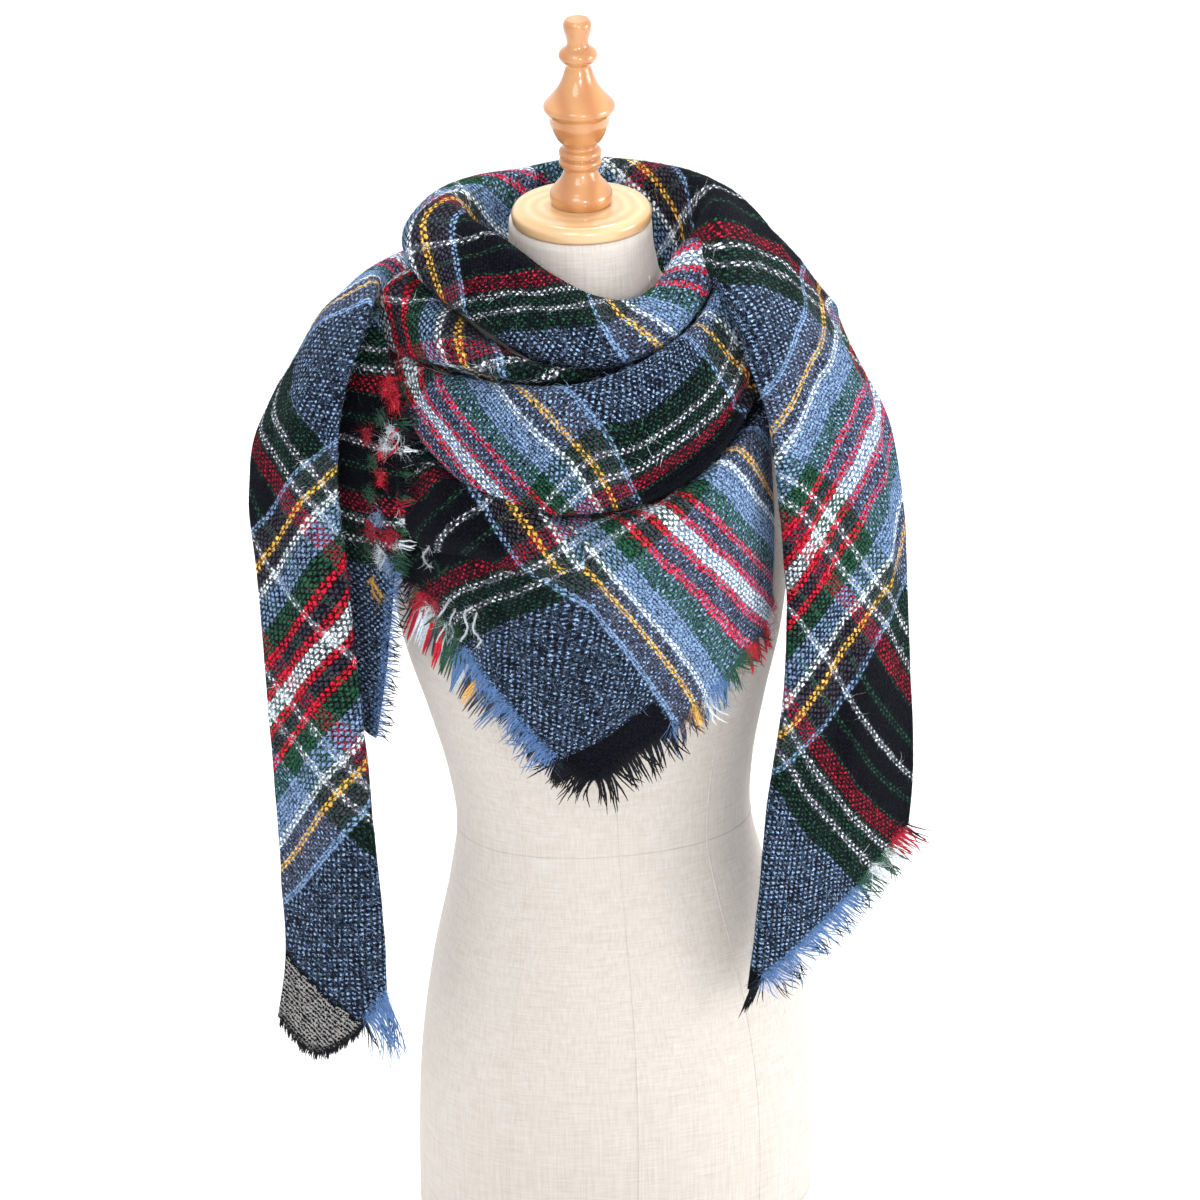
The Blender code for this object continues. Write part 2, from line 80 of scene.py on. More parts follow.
def sight(x, y):
    """Direction from the eye through a place in the picture."""
    spread, half = PIXEL / DISTANCE, PICTURE / 2
    return (RIGHT * (x - half) * spread + UP * (half - y) * spread - BACKWARD).normalized()


# ---------------------------------------------------------------- sizes shared with the solids
def at(turn, radius, height):
    """Place in millimetres of a point given by its turn, radius and height."""
    angle = math.radians(turn)
    return (radius * math.sin(angle), -radius * math.cos(angle), height)


def rows_round(table):
    """Rows of places from a table of turns, radii and heights."""
    return [[at(row[0], row[k], row[k + 1]) for k in range(1, len(row), 2)] for row in table]


NECK_Y = -10 * MM
CAP_RADIUS = 52.5 * MM
CAP_BOTTOM, CAP_EDGE, CAP_CROWN = 837 * MM, 848 * MM, 851 * MM
FORM_FULLNESS = 0.92
# height, half width, front depth, back depth, lean towards +X
FORM_RINGS = (
    (0, 157, 112, 108, 11), (60, 158, 114, 116, 13), (140, 154, 112, 121, 14),
    (220, 141, 102, 112, 13), (290, 123, 90, 95, 10), (335, 115, 84, 84, 8),
    (385, 119, 89, 83, 6), (440, 131, 99, 89, 4), (500, 146, 112, 96, 2),
    (560, 153, 117, 101, 1), (610, 151, 112, 104, 0), (655, 154, 104, 103, 0),
    (690, 160, 86, 96, 0), (712, 160, 70, 84, 0), (730, 146, 60, 70, 0),
    (746, 120, 57, 60, 0), (762, 88, 58, 52, 0), (780, 65, 61, 46, 0),
    (806, 56, 61, 43, 0), (836.6, 53, 61, 42, 0),
)
# radius and height above the cap's crown, from the top down
FINIAL_PROFILE = (
    (8.5, 145), (9.6, 143.5), (9.6, 123), (12.6, 121), (14.4, 117), (12.6, 112.5),
    (9.8, 110.5), (11, 103), (16, 91.5), (24, 81.5), (26.4, 78.5), (26.4, 74.5),
    (23.6, 71.5), (22.4, 64), (17.5, 52.5), (12.6, 45), (15.6, 42.5), (15.6, 38.5),
    (13.4, 37), (15.6, 35.2), (15.6, 31.2), (12.8, 29), (14.5, 21.5), (20.5, 13.5),
    (23.2, 9), (23.2, 3.5), (22, 0.4),
)
# turn, then radius and height of: hidden upper edge, ridge, belly, lower rim, hidden tuck
COWL_INNER = (
    (-166, 82, 800, 94, 840, 108, 835, 115, 817, 107, 803),
    (-140, 81, 803, 95, 844, 111, 839, 119, 818, 110, 804),
    (-100, 78, 808, 97, 850, 121, 842, 131, 819, 118, 807),
    (-80, 74, 812, 90, 850, 121, 843, 132, 815, 118, 803),
    (-50, 73, 804, 82, 840, 108, 826, 122, 794, 107, 782),
    (-25, 73, 790, 79, 820, 102, 807, 120, 775, 104, 764),
    (0, 73, 778, 78, 802, 100, 793, 119, 766, 103, 756),
    (25, 73, 774, 79, 796, 102, 793, 118, 777, 104, 766),
    (45, 73, 782, 80, 808, 104, 813, 116, 801, 104, 788),
    (60, 74, 795, 82, 822, 98.2, 828.8, 107.2, 819.6, 98.5, 807.5),
    (74, 77, 790, 84, 812, 98, 816, 105, 807, 98, 797),
)
COWL_MIDDLE = (
    (-150, 98, 779, 103, 797, 106, 791, 107, 780, 103, 772),
    (-130, 101, 781, 108, 800, 113, 792, 114, 778, 108, 768),
    (-108, 106, 782, 113, 798, 126, 791, 128, 772, 117, 761),
    (-88, 111, 784, 121, 795, 149, 789.8, 152, 756, 133, 739),
    (-65, 110, 782, 122, 792, 147, 784, 149, 761, 131, 752),
    (-45, 106, 768, 118, 777, 138, 778, 145, 765, 129, 755),
    (-25, 104, 754, 114, 762, 126, 766, 132, 760, 121, 752),
    (-5, 106, 752.3, 108.4, 755, 112.4, 756.6, 115.4, 753.2, 112, 750.4),
)
FRONT_SWAG = (
    (-88, 146, 742, 148, 744, 150, 738, 150, 730, 146, 725),
    (-74, 141, 745.5, 146, 748.5, 151, 742, 151, 733, 144, 729),
    (-60, 127, 734, 139, 747, 156, 730, 158, 707, 141, 696),
    (-45, 114, 730, 134, 749, 157, 722, 160, 684, 141, 673),
    (-30, 112, 730, 132, 751, 160, 715, 162, 665, 142, 655),
    (-12, 112, 730, 131, 754, 163, 712, 162, 667, 142, 657),
    (5, 110, 738, 128, 761, 163, 716, 162, 671, 142, 661),
    (22, 108, 752, 126, 774, 160, 728, 160, 683, 142, 673),
    (38, 108, 768, 125, 788, 152, 748, 158, 709, 141, 698),
    (52, 107, 786, 120, 804, 140, 774, 148, 726, 134, 715),
    (68, 104, 797, 110, 811, 123, 790, 128, 757, 118, 750),
)
FOLD_LOWER = (
    (-76, 147.5, 722, 151.5, 716, 158, 690, 163, 666, 160, 652),
    (-64, 137, 698, 148, 689, 163, 666, 167, 640, 161, 630),
    (-55, 148, 681, 154, 683, 171, 660, 176, 633, 168, 620),
    (-47, 152, 674, 163, 678, 180, 657, 183, 639, 176, 629),
    (-34, 146, 672, 159, 680, 178, 663, 185, 641, 178, 632),
    (-21, 152, 662, 166, 666, 184, 649, 186, 632, 180, 624),
    (-9, 177.8, 646, 179.2, 643.5, 180.4, 640.5, 181.2, 637.4, 181.3, 634),
)
# turn, then radius and height of: hidden upper edge, ridge, chest, middle, cut edge
APRON = (
    (-78, 157.5, 633, 159.5, 626, 162, 615, 164, 603, 164, 590),
    (-65, 148, 634, 151, 639, 155, 618, 162, 595, 164, 570),
    (-45, 146, 645, 157, 648, 168, 610, 168, 565, 163, 528),
    (-30, 150, 650, 164, 650, 173, 604, 168, 542, 159, 490),
    (-18, 150, 652, 168, 650, 173, 594, 166, 520, 156, 458),
    (-8, 150, 654, 169, 650, 174, 590, 165, 512, 154, 442),
    (5, 150, 658, 169, 660, 174, 597, 165, 528, 155, 464),
    (20, 150, 670.4, 167, 677.5, 173, 612, 166, 548, 157, 488),
    (36, 144, 686, 159, 695, 166, 635, 162, 572, 156, 514),
    (58, 136, 700, 145, 708, 152, 650, 153, 590, 150, 536),
)
# the apron's hidden row behind the right tail
APRON_BEHIND = (67, 130, 708, 138, 716, 142, 655, 143, 598, 142, 545)
# turn: how far the apron's cut edge is unpicked there, in millimetres
APRON_LOOSE = {-78: 8, -65: 18, -45: 22, -30: 8}
MIDDLE_HEIGHT, EDGE_HEIGHT = 7, 9    # columns of the apron's table, after the turn
MIDDLE_SHARE = 0.6                   # how far its middle follows the unpicked edge
UNDER_STEP = 9.0                     # from the apron's upper leaf in to its lower
UNDER_DROP = 2.0                     # how far its cut edge shows below
# hidden inner edge, ridge beside the neck, middle, outer edge: turn, then radius and height
# of each behind the neck, and places in front of it
TAIL_RIGHT = (
    *rows_round((
        (-124, 127.2, 811, 130.3, 812.4, 133.8, 810, 136.4, 804),
        (-146, 126, 802, 131, 815, 141, 798, 150, 769),
        (-170, 120, 800, 126, 829, 139, 806, 150, 744),
        (166, 92, 790, 105, 841, 130, 816, 148, 744),
        (142, 80, 786, 101, 843, 133, 818, 158, 748),
        (116, 80, 784, 101, 844, 141, 813, 178, 752),
        (94, 79, 784, 103, 845, 147, 806, 193, 746),
    )),
    ((83.4, -26.9, 829.2), (93, -44, 846), (138, -34, 811), (195, -6, 738)),
    ((88.4, -81.9, 814), (95, -106, 808), (148, -82, 780), (208, -20, 706)),
    ((112, -102, 772), (107, -118, 762), (164, -100, 736), (225, -34, 672)),
    ((126, -106, 722), (121, -123, 714), (178, -106, 690), (233, -40, 634)),
    ((134, -108, 660), (128, -124, 652), (184, -106, 632), (237, -45, 590)),
    ((141, -104, 552), (135, -119, 545), (190, -103, 532), (239, -48, 512)),
    ((137, -101, 475), (131, -115, 470), (188, -101, 462), (241, -50, 455)),
    ((125, -100, 387), (119, -113, 380), (183, -101, 395), (242, -55, 405)),
    ((118, -100, 302), (111, -112, 296), (178, -102, 335), (241, -57, 368)),
    ((112, -102, 234), (105, -108, 230), (168, -102, 282), (238, -60, 335)),
)
TAIL_LEFT = (
    *rows_round((
        (146, 92, 776, 96, 784, 106, 774, 112, 762),
        (170, 98, 776, 103, 786, 115, 756, 124, 722),
        (-165, 104, 776, 109, 787, 121, 750, 131, 700),
        (-140, 118, 775, 124, 786, 142, 754, 158, 700),
        (-118, 132, 776, 141, 788, 172, 760, 200, 706),
        (-101, 142, 780, 151, 792, 184, 770, 218, 712),
    )),
    ((-162.3, -22.4, 786.6), (-161, -34, 800), (-190, -26, 784), (-231, 2, 716)),
    ((-172.5, -47.5, 775.7), (-175, -72, 782), (-208, -58, 758), (-246, -14, 696)),
    ((-199, -64, 742), (-191, -82, 744), (-225, -66, 722), (-255, -22, 674)),
    ((-206, -68, 690), (-199, -85, 690), (-233, -68, 672), (-259, -28, 640)),
    ((-203, -67, 602), (-195, -84, 600), (-230, -68, 590), (-256, -31, 576)),
    ((-195, -65, 472), (-187, -82, 470), (-223, -67, 462), (-252, -34, 450)),
    ((-189, -62, 345), (-180, -79, 342), (-217, -66, 335), (-249, -36, 326)),
    ((-186, -62, 266), (-177, -76, 268), (-219, -66, 236), (-250, -38, 240)),
    ((-188, -64, 242), (-179, -74, 243), (-233, -62, 182), (-257, -40, 203)),
)
TAIL_LEFT_INNER = (
    ((-177, -26.4, 777.8), (-167, -34.4, 781.9), (-157, -40, 777.5)),
    ((-198, -40, 735), (-178, -54, 738), (-149, -74, 732)),
    ((-212, -42, 660), (-182, -66, 660), (-150, -87, 656)),
    ((-210, -42, 596), (-184, -64, 594), (-159, -84, 588)),
    ((-206, -42, 520), (-188, -58, 516), (-167, -74, 508)),
    ((-202, -42, 462), (-190, -54, 458), (-175, -66, 450)),
)
# share along and across at each end, depth outwards (a trough is negative), half width
CREASES = {
    "cowl_inner": (
        (0.3, 0.42, 0.62, 0.52, -3.0, 9), (0.42, 0.66, 0.78, 0.6, -3.0, 8),
        (0.1, 0.35, 0.3, 0.62, -3.0, 9),
    ),
    "cowl_middle": (
        (0.3, 0.45, 0.8, 0.62, -3.0, 8),
    ),
    "front_swag": (
        (0.97, 0.66, 0.52, 0.7, -9.0, 8), (0.12, 0.45, 0.42, 0.7, -3.5, 9),
        (0.8, 0.42, 0.55, 0.52, 3.0, 12),
    ),
    "fold_lower": (
        (0.1, 0.62, 0.75, 0.6, -4.0, 8),
    ),
    "apron": (
        (0.3, 0.3, 0.4, 0.95, -4.5, 12), (0.52, 0.25, 0.55, 0.85, 3.0, 14),
        (0.7, 0.25, 0.68, 0.9, -3.5, 12),
    ),
    "tail_right": (
        (0.36, 0.45, 0.92, 0.5, -3.5, 10), (0.3, 0.75, 0.8, 0.8, 3.5, 12),
        (0.4, 0.3, 0.7, 0.28, 2.5, 10), (0.05, 0.48, 0.17, 0.98, -5.0, 9),
        (0.13, 0.4, 0.29, 0.86, -4.5, 10), (0.09, 0.72, 0.14, 1.0, 4.0, 9),
        (0.24, 0.5, 0.4, 0.62, 3.0, 8),
    ),
    "tail_left": (
        (0.42, 0.45, 0.9, 0.55, 3.0, 10), (0.36, 0.7, 0.8, 0.78, -3.0, 10),
        (0.02, 0.55, 0.14, 0.98, -4.5, 8), (0.1, 0.42, 0.28, 0.8, -5.0, 9),
        (0.17, 0.75, 0.22, 1.0, 4.5, 9),
    ),
}
CREASE_END = 0.15                    # share of a crease's depth that is left at its ends
RUMPLE, RUMPLE_SIZE = 0.8 * MM, 32 * MM
RIM_BULGE = 0.3                      # how far a rim stands out, as a share of the wall
# name: (divisions along, divisions across)
DIVISIONS = {
    "cowl_inner": (200, 44), "cowl_middle": (130, 36), "front_swag": (150, 52),
    "fold_lower": (100, 32), "apron": (160, 84), "apron_under": (90, 40),
    "tail_right": (330, 52), "tail_left": (300, 42), "tail_left_inner": (120, 26),
}

# ---------------------------------------------------------------- the weave
HALF_BAND_THREADS, REPEAT_THREADS = 35, 113
BAND = 202.0                         # width of a patterned band in millimetres
PITCH = BAND / 2 / HALF_BAND_THREADS  # from thread to thread
REPEAT = REPEAT_THREADS * PITCH      # from one band to the next
HALF_REPEAT = REPEAT / 2
STRAY = 6.6                          # width of the range that yarns stray over
FLOAT_RISE, ROUNDNESS = 1.4, 3.0     # how far a yarn rises on top, and how far its sides fall
# how much the yarns of family A cover those of family B
LEAD_OF_A = {
    "apron": 1.1, "cowl_inner": 0.9, "cowl_middle": 0.6, "front_swag": 0.5, "tail_left": 1.0,
    "tail_right": 0.7, "tail_left_inner": 0.2, "fold_lower": 0.6, "apron_under": 0.7,
}
OPEN_NET = -1000.0                   # depth of the strip from which it is an open net
SCATTER = 15.0                       # width of the range that brushing spreads a yarn's colour over
# from the middle of a band outwards: thread colour, number of threads
SETT_A = (
    ("white", 2), ("red", 2), ("charcoal", 3), ("red", 2), ("green", 5), ("blue", 6), ("white", 2),
    ("charcoal", 3), ("yellow", 2), ("charcoal", 6), ("blue", 2), ("black", REPEAT_THREADS),
)
SETT_B = (
    ("white", 1), ("black", 5), ("green", 2), ("black", 6), ("green", 1), ("crimson", 5),
    ("green", 1), ("white", 2), ("green", 4), ("white", 2), ("green", 6),
    ("denim", REPEAT_THREADS),
)
THREADS = {
    "white": (0.78, 0.86, 0.93), "red": (0.68, 0.015, 0.04), "charcoal": (0.050, 0.045, 0.065),
    "green": (0.022, 0.088, 0.052), "blue": (0.20, 0.31, 0.50), "yellow": (0.80, 0.46, 0.10),
    "black": (0.004, 0.0045, 0.008), "crimson": (0.46, 0.018, 0.045), "denim": (0.25, 0.38, 0.60),
}

# threads marked on each stretch, by family: place in its band, then points in the picture
MARKS = {
    "front_swag": {
        "A": (
            (77.5, 410, 417, 436, 449, 467, 489), (101, 440, 425, 470, 463, 502, 496),
            (124.5, 432, 387, 480, 435, 520, 480, 545, 504),
            (161, 478, 372, 520, 418, 560, 448, 585, 475), (177, 508, 378, 560, 430, 605, 473),
            (202, 560, 378, 590, 412, 622, 438), (326, 690, 340, 701, 354, 712, 372),
            (351, 702, 334, 712, 338, 722, 350, 735, 364), (367, 722, 327, 733, 340, 740, 352),
        ),
        "B": (
            (-152, 405, 382, 415, 366, 440, 364), (0, 632, 435, 665, 410, 692, 382, 710, 366),
            (20.5, 620, 462, 650, 443, 690, 412, 722, 375),
            (36, 570, 494, 600, 474, 650, 451, 700, 420, 730, 388, 744, 352),
        ),
    },
    "cowl_middle": {
        "A": (
            (177, 453, 328, 460, 347, 468, 366), (161, 437, 314, 438, 335, 443, 351),
            (124.5, 402, 282, 407, 320, 413, 350), (108.5, 393, 300, 396, 340),
        ),
        "B": (
            (101, 396, 312, 410, 305, 424, 304), (151.25, 398, 345, 436, 349, 470, 350, 500, 352),
            (166, 480, 364, 510, 360, 530, 366),
        ),
    },
    "cowl_inner": {
        "A": (
            (177, 425, 218, 433, 250, 440, 285, 455, 308), (202, 451, 225, 453, 240, 456, 262),
            (351, 604, 306, 625, 322, 662, 342), (367, 628, 307, 655, 322, 682, 337),
            (403.5, 655, 287, 690, 284, 712, 298), (427, 680, 260, 700, 259, 716, 268),
        ),
        "B": (
            (101, 410, 252, 440, 250, 470, 240, 490, 239), (69.5, 465, 264, 500, 260, 525, 258),
            (50.75, 445, 288, 490, 288, 530, 278, 560, 276),
            (36, 455, 304, 480, 298, 535, 299, 570, 293),
            (20.5, 468, 313, 490, 308, 545, 311, 585, 304), (0, 505, 320, 560, 322, 600, 328),
        ),
    },
    "fold_lower": {
        "A": (
            (177, 500, 516, 530, 532), (202, 482, 506, 512, 545),
        ),
        "B": (
            (20.5, 400, 462, 430, 451), (36, 400, 478, 437, 463), (50.75, 396, 494, 448, 476),
            (101, 446, 528, 470, 514, 490, 507), (151.25, 513, 558, 536, 539),
        ),
    },
    "apron": {
        "A": (
            (202, 582, 590, 602, 622, 632, 660, 660, 703),
            (177, 545, 540, 590, 575, 620, 610, 660, 655, 685, 690),
            (161, 580, 542, 630, 590, 670, 635, 698, 668),
            (134, 622, 542, 660, 590, 700, 640, 735, 678),
            (124.5, 645, 533, 680, 565, 720, 610, 752, 655),
            (101, 663, 515, 700, 550, 740, 587, 784, 625),
            (77.5, 690, 500, 720, 522, 750, 556, 780, 582), (41, 742, 482, 770, 520),
        ),
        "B": (
            (50.75, 440, 590, 462, 575, 505, 562, 545, 545), (36, 458, 592, 480, 583, 520, 570),
            (20.5, 455, 610, 480, 600, 520, 586, 545, 577),
            (0, 470, 638, 500, 621, 540, 604, 580, 590),
            (-105, 560, 757, 600, 741, 645, 708, 700, 662),
        ),
    },
    "tail_right": {
        "A": (
            (202, 805, 302, 788, 345, 770, 382, 762, 398),
            (177, 813, 292, 821, 315, 812, 352, 790, 395, 770, 435),
            (161, 838, 345, 815, 385, 790, 430, 773, 462), (124.5, 860, 380, 845, 425, 815, 485),
            (101, 882, 398, 860, 455, 820, 525, 786, 585),
            (77.5, 897, 445, 872, 500, 840, 550, 812, 598),
            (41, 895, 550, 860, 595, 825, 645, 786, 698),
            (25, 896, 575, 850, 635, 815, 700, 780, 745),
            (351, 659, 174, 669, 189, 675, 208, 684, 224),
        ),
        "B": (
            (20.5, 795, 480, 830, 525, 870, 575, 898, 610),
            (36, 778, 485, 810, 515, 845, 565, 890, 626),
            (50.75, 785, 520, 830, 590, 880, 645, 906, 690),
            (101, 784, 597, 820, 640, 845, 700, 880, 746, 910, 782),
            (151.25, 786, 692, 820, 750, 860, 800, 895, 830), (166, 782, 722, 820, 785, 875, 842),
            (181.5, 780, 752, 815, 820, 865, 860), (202, 778, 785, 830, 850, 852, 880),
            (-124, 722, 280, 760, 289, 800, 305), (-144, 734, 258, 753, 261, 775, 271, 787, 277),
            (-161.5, 716, 250, 741, 247, 766, 255, 787, 267),
            (-174.5, 700, 240, 745, 241, 775, 247, 787, 256), (-205, 712, 203, 741, 205),
            (-225, 678, 205, 694, 200, 709, 192, 731, 194), (307, 748, 960, 772, 982),
        ),
    },
    "tail_left": {
        "A": (
            (351, 326, 307, 355, 296, 386, 289), (202, 332, 442, 288, 482, 262, 522),
            (177, 333, 455, 300, 500, 262, 560), (161, 333, 494, 300, 535, 266, 592),
            (101, 350, 622, 330, 643, 300, 675, 279, 702), (124.5, 340, 562, 300, 620, 275, 655),
            (77.5, 345, 672, 320, 700, 284, 752), (41, 362, 738, 325, 780, 288, 832),
            (25, 362, 768, 330, 800, 286, 872), (0, 358, 824, 310, 878, 290, 904),
        ),
        "B": (
            (20.5, 265, 405, 297, 445, 315, 475), (36, 262, 430, 295, 480, 335, 525),
            (50.75, 257, 448, 290, 500, 345, 560), (101, 265, 562, 300, 605, 340, 648),
            (151.25, 272, 655, 300, 690, 350, 740), (166, 280, 690, 320, 735, 362, 785),
            (181.5, 276, 720, 310, 762, 345, 800), (307, 282, 955, 320, 985, 352, 1012),
        ),
    },
    "tail_left_inner": {
        "A": (
            (-60, 345, 380, 345, 520), (-95, 372, 400, 370, 500),
        ),
        "B": (
            (0, 352, 330, 383, 333), (20.5, 350, 347, 385, 352), (36, 350, 362, 390, 366),
            (50.75, 342, 380, 385, 386), (101, 338, 430, 362, 446), (151.25, 342, 490, 365, 508),
        ),
    },
    "apron_under": {
        "A": (
            (101, 415, 630, 432, 606), (134, 440, 660, 456, 636), (161, 455, 683, 470, 660),
            (177, 470, 706, 485, 684), (204, 492, 732, 506, 710),
        ),
        "B": (
            (-40, 440, 600, 505, 690),
        ),
    },
}

# ---------------------------------------------------------------- curves and grids
def hermite(knots, rows, where):
    """Smooth curve through rows at knots, read at each place in where."""
    knots, rows, where = [np.asarray(values, float) for values in (knots, rows, where)]
    shape = (-1,) + (1,) * (rows.ndim - 1)
    gaps = np.diff(knots).reshape(shape)
    slopes = np.diff(rows, axis=0) / gaps
    before, after = gaps[:-1], gaps[1:]
    inner = (slopes[:-1] * after + slopes[1:] * before) / (before + after)
    tangents = np.concatenate((slopes[:1], inner, slopes[-1:]))
    k = np.clip(np.searchsorted(knots, where) - 1, 0, len(knots) - 2)
    span = (knots[k + 1] - knots[k]).reshape(shape)
    t = (where - knots[k]).reshape(shape) / span
    return ((2 * t**3 - 3 * t**2 + 1) * rows[k] + (t**3 - 2 * t**2 + t) * span * tangents[k]
            + (3 * t**2 - 2 * t**3) * rows[k + 1] + (t**3 - t**2) * span * tangents[k + 1])


def units(rows):
    return rows / np.linalg.norm(rows, axis=-1, keepdims=True)


def lengths(points):
    """Distance run along a polyline, from 0 at its first point."""
    steps = np.linalg.norm(np.diff(points, axis=0), axis=1)
    return np.concatenate(([0.0], np.cumsum(steps)))


def grid_through(rows, along, across):
    """Points (along x across) of a smooth surface through rows of places, in metres."""
    rows = np.asarray(rows, float) * MM
    knots = lengths(rows.mean(axis=1))
    fine = hermite(knots, rows, np.linspace(0, knots[-1], 4 * along + 1))
    run = lengths(fine.mean(axis=1))
    stations = np.interp(np.linspace(0, run[-1], along + 1), run,
                         np.linspace(0, knots[-1], len(run)))
    sections = []
    for rail in hermite(knots, rows, stations):
        marks = lengths(rail)
        sections.append(hermite(marks, rail, np.linspace(0, marks[-1], across + 1)))
    return np.array(sections)


def cells(n, m):
    """The four corners of each cell of an n x m grid, as places in its flat list."""
    return [(i * m + j, (i + 1) * m + j, (i + 1) * m + j + 1, i * m + j + 1)
            for i in range(n - 1) for j in range(m - 1)]


def apron_rows():
    """The apron's table with its unpicked part left out and its hidden end added."""
    rows = []
    for turn, *row in (*APRON, APRON_BEHIND):
        loose = APRON_LOOSE.get(turn, 0)
        row[MIDDLE_HEIGHT] += MIDDLE_SHARE * loose
        row[EDGE_HEIGHT] += loose
        rows.append((turn, *row))
    return rows_round(rows)


def under_rows():
    """The lower leaf of the apron: the left part of its table, moved in and down."""
    step = UNDER_STEP
    return rows_round([
        (turn, r_chest - step, z_chest - step, r_middle - step, z_middle - step, r_edge - step,
         z_edge - UNDER_DROP)
        for turn, _, _, _, _, r_chest, z_chest, r_middle, z_middle, r_edge, z_edge in APRON[1:6]])


def normals_of(points):
    """Unit normals of a grid of points."""
    return units(np.cross(np.gradient(points, axis=0), np.gradient(points, axis=1)))


def outward_sign(points):
    """+1 where the grid's normals point away from the neck and up, else -1."""
    away = points - np.array((0, 0.03, points[..., 2].mean() - 0.02))
    return 1.0 if (normals_of(points) * away).sum() > 0 else -1.0


def arcs(points):
    """Mean distance along and across a grid, as two grids."""
    n, m = points.shape[:2]
    along = np.mean([lengths(points[:, j]) for j in range(m)], axis=0)
    across = np.mean([lengths(points[i]) for i in range(n)], axis=0)
    return np.meshgrid(along, across, indexing="ij")


def creased(points, creases):
    """The grid with soft troughs and ridges pressed into it along straight runs."""
    place_s, place_t = arcs(points)
    push = np.zeros(points.shape[:2])
    for u0, v0, u1, v1, depth, width in creases:
        start = np.array((u0 * place_s[-1, 0], v0 * place_t[0, -1]))
        run = np.array((u1 * place_s[-1, 0], v1 * place_t[0, -1])) - start
        share = ((place_s - start[0]) * run[0] + (place_t - start[1]) * run[1]) / (run @ run)
        near = np.clip(share, 0, 1)
        distance = np.hypot(place_s - start[0] - near * run[0], place_t - start[1] - near * run[1])
        fade = np.clip(4 * near * (1 - near) + CREASE_END, 0, 1)
        push += depth * MM * fade * np.exp(-(distance / (width * MM)) ** 2)
    return points + normals_of(points) * (push * outward_sign(points))[..., None]


def rumpled(points, height, size):
    """The grid with faint unevenness, as brushed cloth has."""
    push = [[height * noise.noise(Vector(p) / size) for p in row] for row in points.tolist()]
    return points + normals_of(points) * np.array(push)[..., None]


# ---------------------------------------------------------------- thread places
COARSE_ALONG, COARSE_ACROSS = 34, 8
ROUNDS = 14
MARK_PULL, STIFFNESS = 3.0, 0.35
MARK_STEP = 8                        # pixels between samples of a mark


def mark_samples(points, marks):
    """Fractional grid places and thread place of samples of the marks of one family."""
    n, m = points.shape[:2]
    tree = BVHTree.FromPolygons([tuple(p) for p in points.reshape(-1, 3)], cells(n, m))
    found = []
    for place, *xy in marks:
        ends = np.array(xy, float).reshape(-1, 2)
        run = lengths(ends)
        for s in np.arange(0, run[-1] + 1, MARK_STEP):
            x, y = np.interp(s, run, ends[:, 0]), np.interp(s, run, ends[:, 1])
            hit, _, face, _ = tree.ray_cast(EYE, sight(x, y))
            if hit is None:
                continue
            i, j = divmod(face, m - 1)
            corner = points[i, j]
            du, dv = points[i + 1, j] - corner, points[i, j + 1] - corner
            offset = np.array(hit) - corner
            found.append((i + np.clip(offset @ du / (du @ du), 0, 1),
                          j + np.clip(offset @ dv / (dv @ dv), 0, 1), place))
    return np.array(found).reshape(-1, 3)


def reading_weights(found, rows, cols):
    """How much each point of the coarse grid counts at each sample."""
    nu, nv = len(rows), len(cols)
    matrix = np.zeros((len(found), nu * nv))
    for k, (i, j, _) in enumerate(found):
        i, j = np.interp(i, rows, np.arange(nu)), np.interp(j, cols, np.arange(nv))
        i0, j0 = min(int(i), nu - 2), min(int(j), nv - 2)
        a, b = i - i0, j - j0
        for di, dj, share in ((0, 0, (1 - a) * (1 - b)), (1, 0, a * (1 - b)),
                              (0, 1, (1 - a) * b), (1, 1, a * b)):
            matrix[k, (i0 + di) * nv + j0 + dj] = share
    return matrix


def polar(jacobian, hand):
    """Nearest turn of the plane, with its hand kept."""
    u, _, v = np.linalg.svd(jacobian)
    flip = np.diag((1.0, hand * np.sign(np.linalg.det(u @ v))))
    return u @ flip @ v


def flat_edges(coarse):
    """Each cell's edges: pairs of points, and the edges laid flat in the cell's own plane."""
    nu, nv = coarse.shape[:2]
    found = []
    for p in cells(nu, nv):
        q = coarse.reshape(-1, 3)[list(p)]
        along = q[1] + q[2] - q[0] - q[3]
        normal = np.cross(along, q[2] + q[3] - q[0] - q[1])
        e1 = along / np.linalg.norm(along)
        e2 = np.cross(normal / np.linalg.norm(normal), e1)
        ends = ((0, 1), (3, 2), (0, 3), (1, 2))
        edges = np.array([[(q[b] - q[a]) @ e1, (q[b] - q[a]) @ e2] for a, b in ends])
        found.append(([(p[a], p[b]) for a, b in ends], edges))
    return found


def stiffness(laid, nu, nv):
    """How the cells' edges and the grid's own smoothness hold the points together."""
    count = nu * nv
    stiff = np.zeros((count, count))
    for pairs, _ in laid:
        for a, b in pairs:
            stiff[a, a] += 1
            stiff[b, b] += 1
            stiff[a, b] -= 1
            stiff[b, a] -= 1
    bend = []
    for i in range(nu):
        for j in range(nv):
            here = i * nv + j
            if 0 < i < nu - 1:
                bend.append([here - nv, here, here + nv])
            if 0 < j < nv - 1:
                bend.append([here - 1, here, here + 1])
    smooth = np.zeros((len(bend), count))
    for k, three in enumerate(bend):
        smooth[k, three] = (1, -2, 1)
    return stiff + STIFFNESS * smooth.T @ smooth


